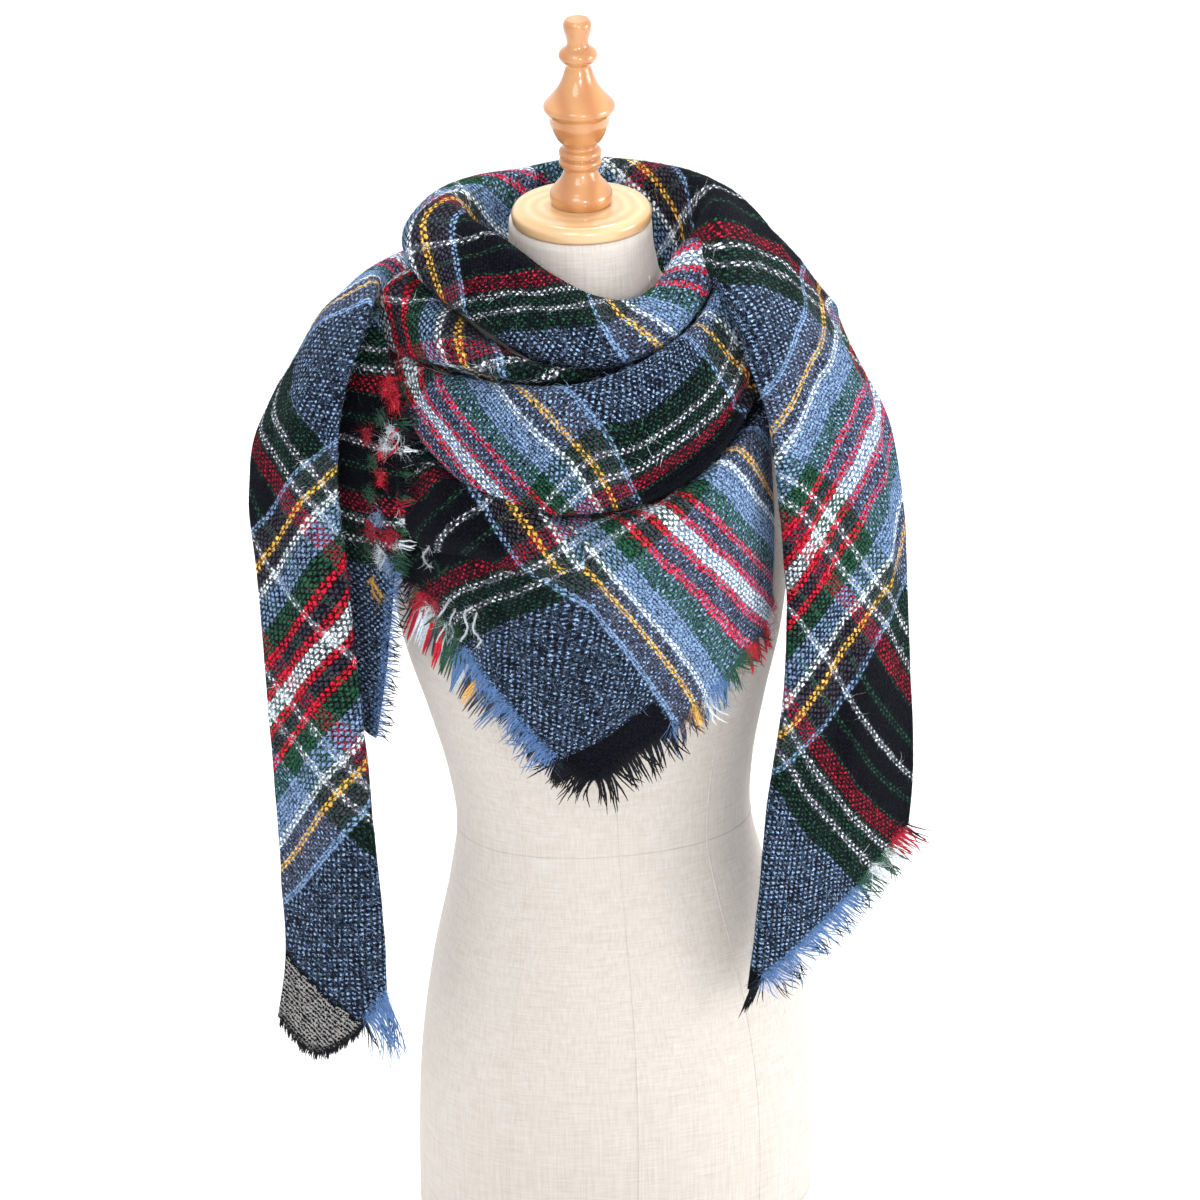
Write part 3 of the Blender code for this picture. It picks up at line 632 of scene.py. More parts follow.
def thread_places(points, marks):
    """Places of both thread families at each grid point, as flat cloth lies on the surface."""
    n, m = points.shape[:2]
    rows = np.unique(np.linspace(0, n - 1, COARSE_ALONG).round().astype(int))
    cols = np.unique(np.linspace(0, m - 1, COARSE_ACROSS).round().astype(int))
    coarse = points[np.ix_(rows, cols)] / MM
    nu, nv = coarse.shape[:2]
    place_s, place_t = arcs(coarse)
    samples = [mark_samples(points, marks[family]) for family in "AB"]
    weights = [reading_weights(found, rows, cols) for found in samples]
    wanted = [found[:, 2] for found in samples]
    # the first guess is the flat sheet, turned as the marks ask
    flat = np.stack((np.ones(nu * nv), place_s.ravel(), place_t.ravel()), axis=1)
    guess = units(np.array([np.linalg.lstsq(matrix @ flat, aims, rcond=None)[0][1:]
                            for matrix, aims in zip(weights, wanted)]))
    hand = np.sign(np.linalg.det(guess)) or 1.0
    places = flat[:, 1:] @ polar(guess, hand).T
    for k in range(2):
        places[:, k] += np.mean(wanted[k] - weights[k] @ places[:, k])
    # then each cell turns as it likes, and the points follow the cells and the marks
    laid = flat_edges(coarse)
    base = stiffness(laid, nu, nv)
    solvers = [np.linalg.inv(base + MARK_PULL * matrix.T @ matrix) for matrix in weights]
    for _ in range(ROUNDS):
        pull = np.zeros((nu * nv, 2))
        for pairs, edges in laid:
            moved = np.array([places[b] - places[a] for a, b in pairs])
            rotation = polar(moved.T @ edges, hand)
            for (a, b), edge in zip(pairs, edges):
                step = rotation @ edge
                pull[b] += step
                pull[a] -= step
        for k in range(2):
            places[:, k] = solvers[k] @ (pull[:, k] + MARK_PULL * weights[k].T @ wanted[k])
    grid = hermite(rows, places.reshape(nu, nv, 2), np.arange(n))
    return np.swapaxes(hermite(cols, np.swapaxes(grid, 0, 1), np.arange(m)), 0, 1)


# ---------------------------------------------------------------- shader nodes
class Term:
    """An output of a node: +, -, *, / and < with it make math nodes."""

    def __init__(self, nodes, socket):
        self.nodes, self.socket = nodes, socket

    def __add__(self, other):
        return self.nodes.math("ADD", self, other)

    def __sub__(self, other):
        return self.nodes.math("SUBTRACT", self, other)

    def __rsub__(self, other):
        return self.nodes.math("SUBTRACT", other, self)

    def __mul__(self, other):
        return self.nodes.math("MULTIPLY", self, other)

    def __truediv__(self, other):
        return self.nodes.math("DIVIDE", self, other)

    def __lt__(self, other):
        return self.nodes.math("LESS_THAN", self, other)


class Nodes:
    """A new material, and short calls for its shader nodes."""

    def __init__(self, name, roughness, **sockets):
        self.material = bpy.data.materials.new(name)
        self.material.use_nodes = True
        self.tree = self.material.node_tree
        self.shader = self.tree.nodes["Principled BSDF"]
        for key, value in {"Roughness": roughness, **sockets}.items():
            self.shader.inputs[key.replace("_", " ")].default_value = value

    def feed(self, socket, value):
        if isinstance(value, Term):
            self.tree.links.new(value.socket, socket)
        else:
            socket.default_value = value

    def add(self, kind, inputs=(), output=0, **settings):
        """A new node with its settings and inputs, each by name or number: one output."""
        node = self.tree.nodes.new("ShaderNode" + kind)
        for key, value in settings.items():
            setattr(node, key, value)
        for key, value in dict(inputs).items():
            self.feed(node.inputs[key], value)
        return Term(self, node.outputs[output])

    def solid(self):
        return self.add("TexCoord", output="Object")

    def attribute(self, name, output):
        return self.add("Attribute", output=output, attribute_name=name)

    def math(self, operation, *values, **settings):
        return self.add("Math", enumerate(values), operation=operation, **settings)

    def split(self, vector):
        """The three parts of a vector or a colour."""
        outputs = self.add("SeparateXYZ", {0: vector}).socket.node.outputs
        return [Term(self, socket) for socket in outputs]

    def mapped(self, vector, scale, location=(0, 0, 0)):
        return self.add("Mapping", {"Vector": vector, "Scale": scale, "Location": location})

    def mix(self, share, first, second, blend="MIX"):
        return self.add("Mix", {0: share, 6: first, 7: second}, 2, data_type="RGBA",
                        blend_type=blend)

    def between(self, share, first, second):
        """A plain value between two others."""
        return self.add("Mix", {0: share, 2: first, 3: second}, data_type="FLOAT")

    def noise(self, vector, scale, detail=2.0, rough=0.5, output=0):
        return self.add("TexNoise", {"Vector": vector, "Scale": scale, "Detail": detail,
                                     "Roughness": rough}, output)

    def ramp(self, value, stops, interpolation="LINEAR"):
        """Colours, or greys given as one number, by value."""
        out = self.add("ValToRGB", {0: value})
        ramp = out.socket.node.color_ramp
        ramp.interpolation = interpolation
        while len(ramp.elements) < len(stops):
            ramp.elements.new(1.0)
        for element, (place, colour) in zip(ramp.elements, stops):
            element.position = place
            element.color = (*(colour if isinstance(colour, tuple) else (colour,) * 3), 1.0)
        return out

    def finish(self, colour, height, strength, distance):
        """The material, coloured and with a bump."""
        bump = {"Strength": strength, "Distance": distance, "Height": height}
        self.feed(self.shader.inputs["Base Color"], colour)
        self.feed(self.shader.inputs["Normal"], self.add("Bump", bump))
        return self.material


# ---------------------------------------------------------------- materials
# scales of the plaid's unevenness, to the metre
STRAY_SCALE, BRUSH_SCALE, PATCH_SCALE, SWAP_SCALE, MAT_SCALE = 380.0, 620.0, 70.0, 300.0, 150.0
HEATHER_SCALE, HAIR_SCALE, HAIR_SHARE_SCALE = 1300.0, 480.0, 260.0
TUFT_SCALE, HAZE_SCALE = 420.0, 500.0
DRAGS = ((0.8, 0.25, 0), (0.25, 0.8, 0))  # how fibres drag along the yarns of each family
# how much the drags, the patches and the swaps decide which yarn is on top, and the weave itself
DRAG_SHARE, PATCH_SHARE, SWAP_SHARE, WEAVE_SHARE, CONTRAST = 3.4, 2.0, 6.5, 0.55, 2.2
RAGGED_STRIP = 16.0                  # how far the edge of the black strip strays, twice over
NET_STRAY, NET_FLOAT, NET_OPENS = 5.0, 0.35, -0.1
# pale light painted into the net's gaps, and the painted shade deep between yarns
PAINTED_NET_LIGHT, GAP_SHADE_TONE = (0.44, 0.43, 0.42, 1), (0.035, 0.035, 0.045, 1)
HAZE_TONE, HAZE_SHARE = (0.42, 0.48, 0.60, 1), 0.03


def sett_colour(nodes, place, sett):
    """Colour of the thread at a place, which counts from the edge of a band."""
    stops, start = [], 0
    for name, count in sett:
        stops.append((start * PITCH / HALF_REPEAT, THREADS[name]))
        start += count
    folded = nodes.math("PINGPONG", place - BAND / 2, HALF_REPEAT)
    return nodes.ramp(folded / HALF_REPEAT, stops, "CONSTANT")


def build_plaid():
    """Brushed plain weave: each yarn's colour from its sett, over and under the other family."""
    nodes = Nodes("plaid", 1.0, Sheen_Weight=0.03, Sheen_Roughness=0.35,
                  Sheen_Tint=(0.75, 0.82, 1.0, 1.0), Specular_IOR_Level=0.03)
    solid = nodes.solid()
    # yarns stray from their lines, each family its own way
    *stray, edge_stray = nodes.split(nodes.noise(solid, STRAY_SCALE, 4.0, 0.75, "Color"))
    wander = [(way - 0.5) * STRAY for way in stray]
    *thread, lead = nodes.split(nodes.attribute("thread", "Vector"))
    *shade, strip_depth = nodes.split(nodes.attribute("shade", "Vector"))
    thread, shade = [[place + way for place, way in zip(pair, wander)] for pair in (thread, shade)]
    brushed = nodes.split(nodes.noise(solid, BRUSH_SCALE, 3.0, 0.8, "Color"))
    turns, index, roundness, colours, hairs = [], [], [], [], []
    for k, sett in enumerate((SETT_A, SETT_B)):
        turns.append(thread[k] / PITCH)
        index.append(nodes.math("FLOOR", turns[k]))
        centred = (turns[k] - index[k]) * 2.0 - 1.0
        roundness.append(1.0 - centred * centred * ROUNDNESS)
        tone = (nodes.math("FLOOR", shade[k] / PITCH) + 0.5) * PITCH
        colours.append(sett_colour(nodes, tone, sett))
        hairs.append(sett_colour(nodes, shade[k] + (brushed[k] - 0.5) * SCATTER, sett))
    strip = strip_depth + (edge_stray - 0.5) * RAGGED_STRIP < 0.0
    for kind in (colours, hairs):
        kind[1] = nodes.mix(strip, kind[1], (*THREADS["black"], 1))
    # a yarn rises over one yarn of the other family and dips under the next
    heights = []
    for k, shift in enumerate((-0.5, 0.5)):
        along = turns[1 - k] - index[k] + shift
        heights.append(nodes.math("COSINE", along * math.pi) * FLOAT_RISE + roundness[k])
    # fibres drag along each family's yarns, and the nap lies in patches
    lines = nodes.add("CombineXYZ", enumerate(thread))
    drags = [nodes.noise(nodes.mapped(lines, scale), 1.0, 2.0, 0.6) for scale in DRAGS]
    patches = (nodes.noise(solid, PATCH_SCALE) - 0.5) * PATCH_SHARE
    swaps = (nodes.noise(solid, SWAP_SCALE, 2.0, 0.6) - 0.5) * SWAP_SHARE
    ragged = (drags[0] - drags[1]) * DRAG_SHARE + patches + swaps
    score = (heights[0] - heights[1]) * WEAVE_SHARE + (ragged + lead)
    share = nodes.math("MULTIPLY_ADD", score, CONTRAST, 0.5, use_clamp=True)
    matted = nodes.ramp(nodes.noise(solid, MAT_SCALE, 3.0, 0.6), ((0.50, 0.0), (0.80, 0.5)))
    share = nodes.between(matted, share, 0.5)
    colour = nodes.mix(share, colours[1], colours[0])
    below = nodes.mix(share, colours[0], colours[1])
    top = nodes.between(share, heights[1], heights[0])
    # beside each yarn the gap between yarns is painted in shade, with some of the yarn below
    # darkened in it
    heather = nodes.noise(solid, HEATHER_SCALE, 3.0, 0.7)
    ridge = top + (heather - 0.5) * 2.0 + share * lead
    ridge = nodes.ramp(ridge * 0.4, ((0.38, 0.0), (0.68, 1.0)))
    below = nodes.mix(0.15, below, colour)
    # the yarn below, darkened as painted shade between the yarns
    below = nodes.mix(1.0, below, nodes.mix(0.25, GAP_SHADE_TONE, colour), "MULTIPLY")
    colour = nodes.mix(ridge, below, colour)
    # brushed hairs carry each yarn's colour over its neighbours, in patches
    hair = nodes.ramp(nodes.noise(solid, HAIR_SCALE, 2.0, 0.7), ((0.44, 0.0), (0.56, 1.0)))
    hair = nodes.mix(hair, hairs[0], hairs[1])
    patch = nodes.noise(solid, HAIR_SHARE_SCALE, 4.0, 0.75)
    colour = nodes.mix(nodes.ramp(patch, ((0.47, 0.0), (0.72, 0.25))), colour, hair)
    # every tuft has a tone of its own
    tuft = nodes.noise(solid, TUFT_SCALE, 3.0, 0.8)
    colour = nodes.mix(1.0, colour, nodes.ramp(tuft, ((0.36, 0.32), (0.64, 2.0))), "MULTIPLY")
    # the strip at the tip of the left tail is an open net, and the pale light seen through its gaps
    # is painted on
    meshes = roundness[1] + (edge_stray - 0.5) * NET_STRAY + heights[0] * NET_FLOAT
    colour = nodes.mix((strip_depth < OPEN_NET) * (meshes < NET_OPENS), colour, PAINTED_NET_LIGHT)
    haze = nodes.math("POWER", nodes.noise(solid, HAZE_SCALE, 4.0, 0.8), 3.0) * HAZE_SHARE
    colour = nodes.mix(haze, colour, HAZE_TONE)
    return nodes.finish(colour, top + heather * 1.2, 0.6, 0.0006)


def build_yarn():
    nodes = Nodes("yarn", 0.95, Sheen_Weight=0.06, Sheen_Roughness=0.4, Specular_IOR_Level=0.15)
    grain = nodes.noise(nodes.solid(), 900.0, 3.0, 0.7)
    shade = nodes.ramp(grain, ((0.25, 0.55), (0.75, 1.45)))
    colour = nodes.mix(1.0, nodes.attribute("tint", "Color"), shade, "MULTIPLY")
    return nodes.finish(colour, grain, 0.5, 0.0005)


LINEN_THREADS = 7200.0               # radians of weave to the metre
LINEN_ROUND = 0.14                   # metres round the form to a radian
SLUBS = ((60.0, 60.0, 900.0), (700.0, 700.0, 35.0))
LINEN_TONES = ((0.3, (0.54, 0.49, 0.44)), (0.5, (0.62, 0.57, 0.52)), (0.72, (0.69, 0.65, 0.61)))


def build_linen():
    nodes = Nodes("linen", 0.85, Sheen_Weight=0.15, Sheen_Roughness=0.5, Specular_IOR_Level=0.25)
    solid = nodes.solid()
    x, y, z = nodes.split(solid)
    turn = nodes.math("ARCTAN2", x, y) * LINEN_ROUND
    weft, warp = [nodes.math("SINE", way * LINEN_THREADS) for way in (z, turn)]
    across, down = [nodes.noise(nodes.mapped(solid, scale), 1.0) for scale in SLUBS]
    slub = across + down
    colour = nodes.ramp(slub * 0.5, LINEN_TONES)
    return nodes.finish(colour, weft * warp * 0.35 + slub, 0.35, 0.0004)


def build_wood(name, light, dark, bands, turned_rings=False):
    nodes = Nodes(name, 0.3, Coat_Weight=0.8, Coat_Roughness=0.08)
    solid = nodes.solid()
    stretch = nodes.mapped(solid, (1.0, 0.28, 1.0), (0.03, 0.02, 0.0))
    if turned_rings:
        place, distortion = nodes.mapped(solid, (1.0, 1.0, 0.2), (0.004, 0.016, 0.0)), 2.5
        settings = {"wave_type": "RINGS", "rings_direction": "Z"}
    else:
        place, distortion = stretch, 6.0
        settings = {"wave_type": "BANDS", "bands_direction": "X"}
    rings = nodes.add("TexWave", {"Vector": place, "Scale": bands, "Distortion": distortion,
                                  "Detail": 3.0, "Detail Scale": 0.8}, "Fac", **settings)
    pores = nodes.noise(stretch, 500.0, 3.0, 0.6)
    colour = nodes.ramp(rings * 0.7 + pores * 0.3, ((0.1, dark), (0.9, light)))
    return nodes.finish(colour, pores, 0.05, 0.0003)


# ---------------------------------------------------------------- meshes
def link(obj):
    bpy.context.scene.collection.objects.link(obj)


def object_from(name, vertices, faces, finish, sharp=None, closed=True):
    mesh = bpy.data.meshes.new(name)
    mesh.from_pydata([tuple(v) for v in vertices], [], faces)
    if closed:
        body = bmesh.new()
        body.from_mesh(mesh)
        bmesh.ops.recalc_face_normals(body, faces=body.faces)
        body.to_mesh(mesh)
        body.free()
    mesh.shade_smooth()
    if sharp:
        mesh.set_sharp_from_angle(angle=math.radians(sharp))
    mesh.materials.append(finish)
    obj = bpy.data.objects.new(name, mesh)
    link(obj)
    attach(obj, "root")
    return obj


def point_values(obj, name, values):
    """Gives each point of an object a vector of three numbers, or a colour of four."""
    values = np.asarray(values, np.float32)
    kind, key = {3: ("FLOAT_VECTOR", "vector"), 4: ("FLOAT_COLOR", "color")}[values.shape[-1]]
    obj.data.attributes.new(name, kind, "POINT").data.foreach_set(key, values.ravel())


def tube_faces(count, sides, first=0):
    """Side faces of a tube of rings whose points lie one after another from the first."""
    faces = []
    for ring in range(count - 1):
        for side in range(sides):
            a = first + ring * sides + side
            b = first + ring * sides + (side + 1) % sides
            faces.append([a, b, b + sides, a + sides])
    return faces


def end_faces(count, sides, first=0):
    last = first + (count - 1) * sides
    return [[first + k for k in reversed(range(sides))], [last + k for k in range(sides)]]


def ring_about(centre, across, other, radius, sides, turn=0.0):
    """Points of a ring with its middle, its two directions and its first point's turn."""
    angles = [2 * math.pi * k / sides + turn for k in range(sides)]
    return [centre + (across * math.cos(a) + other * math.sin(a)) * radius for a in angles]


def cloth(name, points, threads, finish):
    """A shell of cloth with the grid in its middle and a rounded rim."""
    side = normals_of(points) * WALL / 2
    n, m = points.shape[:2]
    rim = [(i, 0) for i in range(n)] + [(n - 1, j) for j in range(1, m)]
    rim += [(i, m - 1) for i in range(n - 2, -1, -1)] + [(0, j) for j in range(m - 2, 0, -1)]
    lead = []
    for i, j in rim:
        inner = points[min(max(i, 1), n - 2), min(max(j, 1), m - 2)]
        out = points[i, j] - inner
        lead.append(points[i, j] + out / np.linalg.norm(out) * WALL * RIM_BULGE)
    outer, inner = (points + side).reshape(-1, 3), (points - side).reshape(-1, 3)
    vertices = np.concatenate((outer, inner, lead))
    under, bead = n * m, 2 * n * m
    faces = []
    for quad in cells(n, m):
        faces += [quad, [under + k for k in reversed(quad)]]
    for k, (i, j) in enumerate(rim):
        after = (k + 1) % len(rim)
        a, b = rim[after]
        here, there = i * m + j, a * m + b
        faces.append([here, bead + k, bead + after, there])
        faces.append([under + here, under + there, bead + after, bead + k])
    obj = object_from("cloth_" + name, vertices, faces, finish)
    places, shades = threads
    places = np.dstack((places, np.full((n, m), LEAD_OF_A[name])))
    for key, values in (("thread", places), ("shade", shades)):
        flat = values.reshape(-1, 3)
        point_values(obj, key, np.concatenate((flat, flat, [values[i, j] for i, j in rim])))
    return obj


# Near a cut corner the plain blocks run on, so the places that colours are read at are held
# within (least, greatest) for family A and family B.  A strip of black threads ends family B.
PLAIN_BELOW, PLAIN_ABOVE = -62.0, 264.0
UPWARD, DOWNWARD = (PLAIN_BELOW, math.inf), (-math.inf, PLAIN_ABOVE)
CORNERS = {
    "apron": (DOWNWARD, UPWARD), "apron_under": (DOWNWARD, UPWARD),
    "tail_right": (UPWARD, DOWNWARD), "tail_left": (UPWARD, DOWNWARD),
    "tail_left_inner": (UPWARD, DOWNWARD),
}
# places of family B and family A past which the strip lies, and which way each runs
BLACK_STRIP = {
    "apron": (-105.0, 1, 204.0, -1), "tail_right": (307.0, -1, -2.0, 1),
    "tail_left": (307.0, -1, -2.0, 1),
}
NET_BELOW = -3                       # depth of the left tail's strip from which it is open


def weave(name, points):
    """Thread places of a stretch, and the places and the strip that its colours are read at."""
    places = thread_places(points, MARKS[name])
    shades = np.dstack((places, np.ones(points.shape[:2])))
    for column, (least, greatest) in enumerate(CORNERS.get(name, ())):
        shades[..., column] = np.clip(places[..., column], least, greatest)
    if name in BLACK_STRIP:
        place_b, side_b, place_a, side_a = BLACK_STRIP[name]
        depth = np.maximum((places[..., 1] - place_b) * side_b, (places[..., 0] - place_a) * side_a)
        if name == "tail_left":
            depth = np.where(depth < NET_BELOW, 3 * OPEN_NET, depth)
        shades[..., 2] = depth
    return places, shades


def thread_colour(family, place, strip=1.0):
    """Name of the colour of a family's thread at a place."""
    if family == "B" and strip < 0:
        return "black"
    sett = SETT_A if family == "A" else SETT_B
    left = abs((place - BAND / 2 + HALF_REPEAT) % REPEAT - HALF_REPEAT) / PITCH
    for name, count in sett:
        left -= count
        if left <= 0:
            return name
    return sett[-1][0]


# how far the hidden edges run on under their neighbours in millimetres, and how much of that is
# downwards (None is level): first edge, last edge
TUCKED = {
    "cowl_inner": (10, 0.6, 16, 0.8), "cowl_middle": (6, 0.6, 26, 0.8),
    "front_swag": (26, 0.6, 26, 0.8), "fold_lower": (40, None, 5, 0.2),
    "apron": (30, 0.3, 0, 0), "tail_right": (16, 0.6, 0, 0), "tail_left": (10, 0.6, 0, 0),
}


def tucked(rows, first, first_fall, last, last_fall):
    """Rows with their end places moved on, inwards and down."""
    rows = np.array(rows, float)
    out = [rows]
    for end, beside, reach, fall in ((0, 1, first, first_fall), (-1, -2, last, last_fall)):
        if reach:
            ahead = rows[:, end] - rows[:, beside]
            ahead[:, 2] *= 0 if fall is None else 1 - fall
            ahead = units(units(ahead) + (0, 0, -(fall or 0)))
            more = (rows[:, end] + reach * ahead)[:, None]
            out = [more] + out if end == 0 else out + [more]
    return np.concatenate(out, axis=1)


def build_stretches(plaid):
    """Each stretch by name: its object, its grid and its threads."""
    tables = {
        "cowl_inner": rows_round(COWL_INNER), "cowl_middle": rows_round(COWL_MIDDLE),
        "front_swag": rows_round(FRONT_SWAG), "fold_lower": rows_round(FOLD_LOWER),
        "apron": apron_rows(), "apron_under": under_rows(), "tail_right": TAIL_RIGHT,
        "tail_left": TAIL_LEFT, "tail_left_inner": TAIL_LEFT_INNER,
    }
    made = {}
    for name, rows in tables.items():
        points = grid_through(tucked(rows, *TUCKED.get(name, (0, 0, 0, 0))), *DIVISIONS[name])
        if name in CREASES:
            points = creased(points, CREASES[name])
        points = rumpled(points, RUMPLE, RUMPLE_SIZE)
        threads = weave(name, points)
        obj = cloth(name, points, threads, plaid)
        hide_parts(name)
        made[name] = (obj, points, threads)
    return made


# ---------------------------------------------------------------- yarns and fibres
# loose yarns are deeper in colour than the same yarns brushed into the cloth
LOOSE_COLOURS = {**THREADS, "denim": (0.12, 0.235, 0.47), "blue": (0.12, 0.235, 0.47)}
# yarn colour: (radius at the root in millimetres, curl, share of the usual length)
YARN_KIND = {
    "white": (1.05, 0.9, 1.0), "red": (1.05, 0.6, 0.95), "crimson": (0.95, 0.6, 0.95),
    "green": (0.95, 0.8, 0.95), "blue": (0.75, 1.4, 1.0), "yellow": (0.9, 0.5, 0.85),
    "charcoal": (0.8, 0.6, 0.9), "black": (0.85, 0.4, 1.0), "denim": (0.75, 1.4, 1.0),
}
WISP_WIDTH, NAP_WIDTH, TUFT_WIDTH = 0.3, 0.26, 0.5   # of fibres at their roots, in millimetres
FIBRE_PARTS = 2
FIBRE_SPREAD = 4.0                   # shape of the spread of their lengths
FRINGE_SIDES, FRINGE_PARTS = 5, 8
CLUMP = 4                            # neighbouring yarns that lean together
ROOTED = 3.0 * MM                    # how far back in the cloth a yarn starts
MARGIN = 1.5 * MM                    # from the fringe's ends to its first and last yarn
BLACK_TIP = 0.6                      # share of a yarn's length from which its tip is black
BLACK_WISP = 0.45                    # length of a black wisp to another


class Yarns:
    """A piece made of yarns and loose fibres: its points, their colours and its faces."""

    def __init__(self):
        self.vertices, self.colours, self.faces, self.count = [], [], [], 0

    def add(self, vertices, colours, faces):
        """More points with a colour for each, and faces that count from the first of them."""
        self.faces += [[self.count + corner for corner in face] for face in faces]
        self.vertices.append(vertices)
        self.colours.append(colours)
        self.count += len(vertices)

    def tube(self, rings, colours, capped=True):
        """A yarn through rings of points, with a colour for each ring."""
        sides = len(rings[0])
        faces = tube_faces(len(rings), sides)
        if capped:
            faces += end_faces(len(rings), sides)
        self.add(np.concatenate(rings), np.repeat(colours, sides, axis=0), faces)

    def fibres(self, root, ahead, bend, lift, wide, length, colours):
        """Thin curved ribbons from their roots, with a colour for each."""
        rungs = []
        for p in range(FIBRE_PARTS + 1):
            t = p / FIBRE_PARTS
            centre = root + length * (ahead * t + bend * t * t + lift * t)
            rungs += [centre + wide * (1 - 0.7 * t), centre - wide * (1 - 0.7 * t)]
        per = len(rungs)
        first = np.arange(len(root))[:, None] * per
        quads = np.concatenate([first + (2 * p, 2 * p + 1, 2 * p + 3, 2 * p + 2)
                                for p in range(FIBRE_PARTS)])
        self.add(np.stack(rungs, axis=1).reshape(-1, 3), np.repeat(colours, per, axis=0),
                 quads.tolist())

    def piece(self, name, finish, closed=True):
        obj = object_from(name, np.concatenate(self.vertices), self.faces, finish, closed=closed)
        colours = np.concatenate(self.colours)
        point_values(obj, "tint", np.column_stack((colours, np.ones(len(colours)))))
        return obj


def turned_by(lie, across, out):
    """A fibre's flat direction, turned by an angle out of the cloth."""
    return across * np.cos(lie) + out * np.sin(lie)


def fringe(name, edge, leading, normal, names, reach, finish, rng, *, droop=0.3, step=1.3,
           loose=1.0, wisps=7, wisp_length=8.0, black_tips=0.0, girth=1.0, black_share=1.0):
    """Yarns that run out of a cut edge, and fine wisps at their roots.

    names is the colour name of the thread and reach the length in millimetres at each edge
    point; loose is how far the yarns stray from straight and parallel.
    """
    run = lengths(edge)
    marks = np.arange(MARGIN, run[-1] - MARGIN, step * MM)
    root, ahead, side = [np.stack([np.interp(marks, run, row[:, k]) for k in range(3)], axis=1)
                         for row in (edge, leading, normal)]
    reach = np.interp(marks, run, reach)
    ahead, side = units(ahead), units(side)
    beside = units(np.gradient(root, axis=0))
    kinds = [names[int(np.searchsorted(run, mark).clip(0, len(names) - 1))] for mark in marks]
    yarns = Yarns()
    down = np.array((0, 0, -1.0))
    for k, kind in enumerate(kinds):
        if k % CLUMP == 0:
            clump, clump_length = rng.normal(0, 0.16 * loose), rng.uniform(0.85, 1.1)
        thick, curliness, share = YARN_KIND[kind]
        share *= black_share if kind == "black" else 1
        length = reach[k] * MM * share * clump_length * rng.uniform(1 - 0.25 * loose, 1.08)
        lean = clump + rng.normal(0, 0.12 * loose)
        lift = rng.normal(0, 0.12 * loose)
        curl, phase = curliness * loose * rng.uniform(0.3, 1.4) * MM, rng.uniform(0, 6.28)
        turns = rng.uniform(5, 10)
        radius = thick * girth * rng.uniform(0.75, 1.2) * MM
        here = root[k] - ahead[k] * ROOTED + side[k] * rng.uniform(-0.7, 0.7) * MM
        colour = np.array(LOOSE_COLOURS[kind]) * rng.uniform(0.7, 1.3) + 0.004
        blackened = rng.random() < black_tips and kind in ("denim", "blue", "black")
        rings, colours = [], []
        for p in range(FRINGE_PARTS + 1):
            t = p / FRINGE_PARTS
            heading = (ahead[k] * (1 - droop * t) + down * droop * t
                       + beside[k] * lean * (0.4 + t) + side[k] * lift * t)
            heading /= np.linalg.norm(heading)
            here = here + heading * (length + ROOTED) / FRINGE_PARTS * (p > 0)
            angle = phase + turns * t
            centre = here + (beside[k] * math.sin(angle) + side[k] * math.cos(angle)) * curl * t
            across = units(np.cross(heading, side[k]))
            width = radius * (1 - 0.5 * t - 0.3 * t**6)
            rings.append(ring_about(centre, across, np.cross(heading, across), width,
                                    FRINGE_SIDES, 0.8 * p))
            colours.append(THREADS["black"] if blackened and t > BLACK_TIP else colour)
        yarns.tube(rings, colours)
    pick = np.repeat(np.arange(len(marks)), wisps)
    each = (len(pick), 1)
    out = side[pick] * rng.choice((1.0, -1.0), each)
    heading = units(ahead[pick] + beside[pick] * rng.normal(0, 0.55, each)
                    + out * rng.uniform(0, 0.35, each))
    across = units(np.cross(out, heading))
    start = (root[pick] - ahead[pick] * rng.uniform(0, 7, each) * MM
             + beside[pick] * rng.uniform(-2, 2, each) * MM + out * WALL * 0.5)
    wide = turned_by(rng.normal(0, 0.7, each), across, out) * WISP_WIDTH / 2 * MM
    bend = across * rng.normal(0, 0.6, each)
    shorter = np.array([BLACK_WISP if kinds[k] == "black" else 1 for k in pick])[:, None]
    length = rng.gamma(FIBRE_SPREAD, wisp_length / FIBRE_SPREAD, each) * MM * shorter
    colour = np.array([LOOSE_COLOURS[kinds[k]] for k in pick]) * rng.uniform(0.7, 1.5, each)
    yarns.fibres(start, heading, bend, out * 0.1, wide, length, np.clip(colour + 0.008, 0, 1))
    return yarns.piece(name, finish)


def thread_leads(points, places, edge, outward, family):
    """Directions in which the threads of a family leave an edge."""
    place = places[..., "AB".index(family)]
    ahead = units((np.gradient(points, axis=0) * np.gradient(place, axis=1)[..., None]
                   - np.gradient(points, axis=1) * np.gradient(place, axis=0)[..., None])[edge])
    outward = units(outward)
    ahead *= np.sign((ahead * outward).sum(axis=1, keepdims=True))
    return units(ahead + 0.25 * outward)


END_FROM = 0.24                      # share of a tail's width from which its end is fringed
SIDE_FROM = 20                       # grid line from which the inner layer's side is fringed


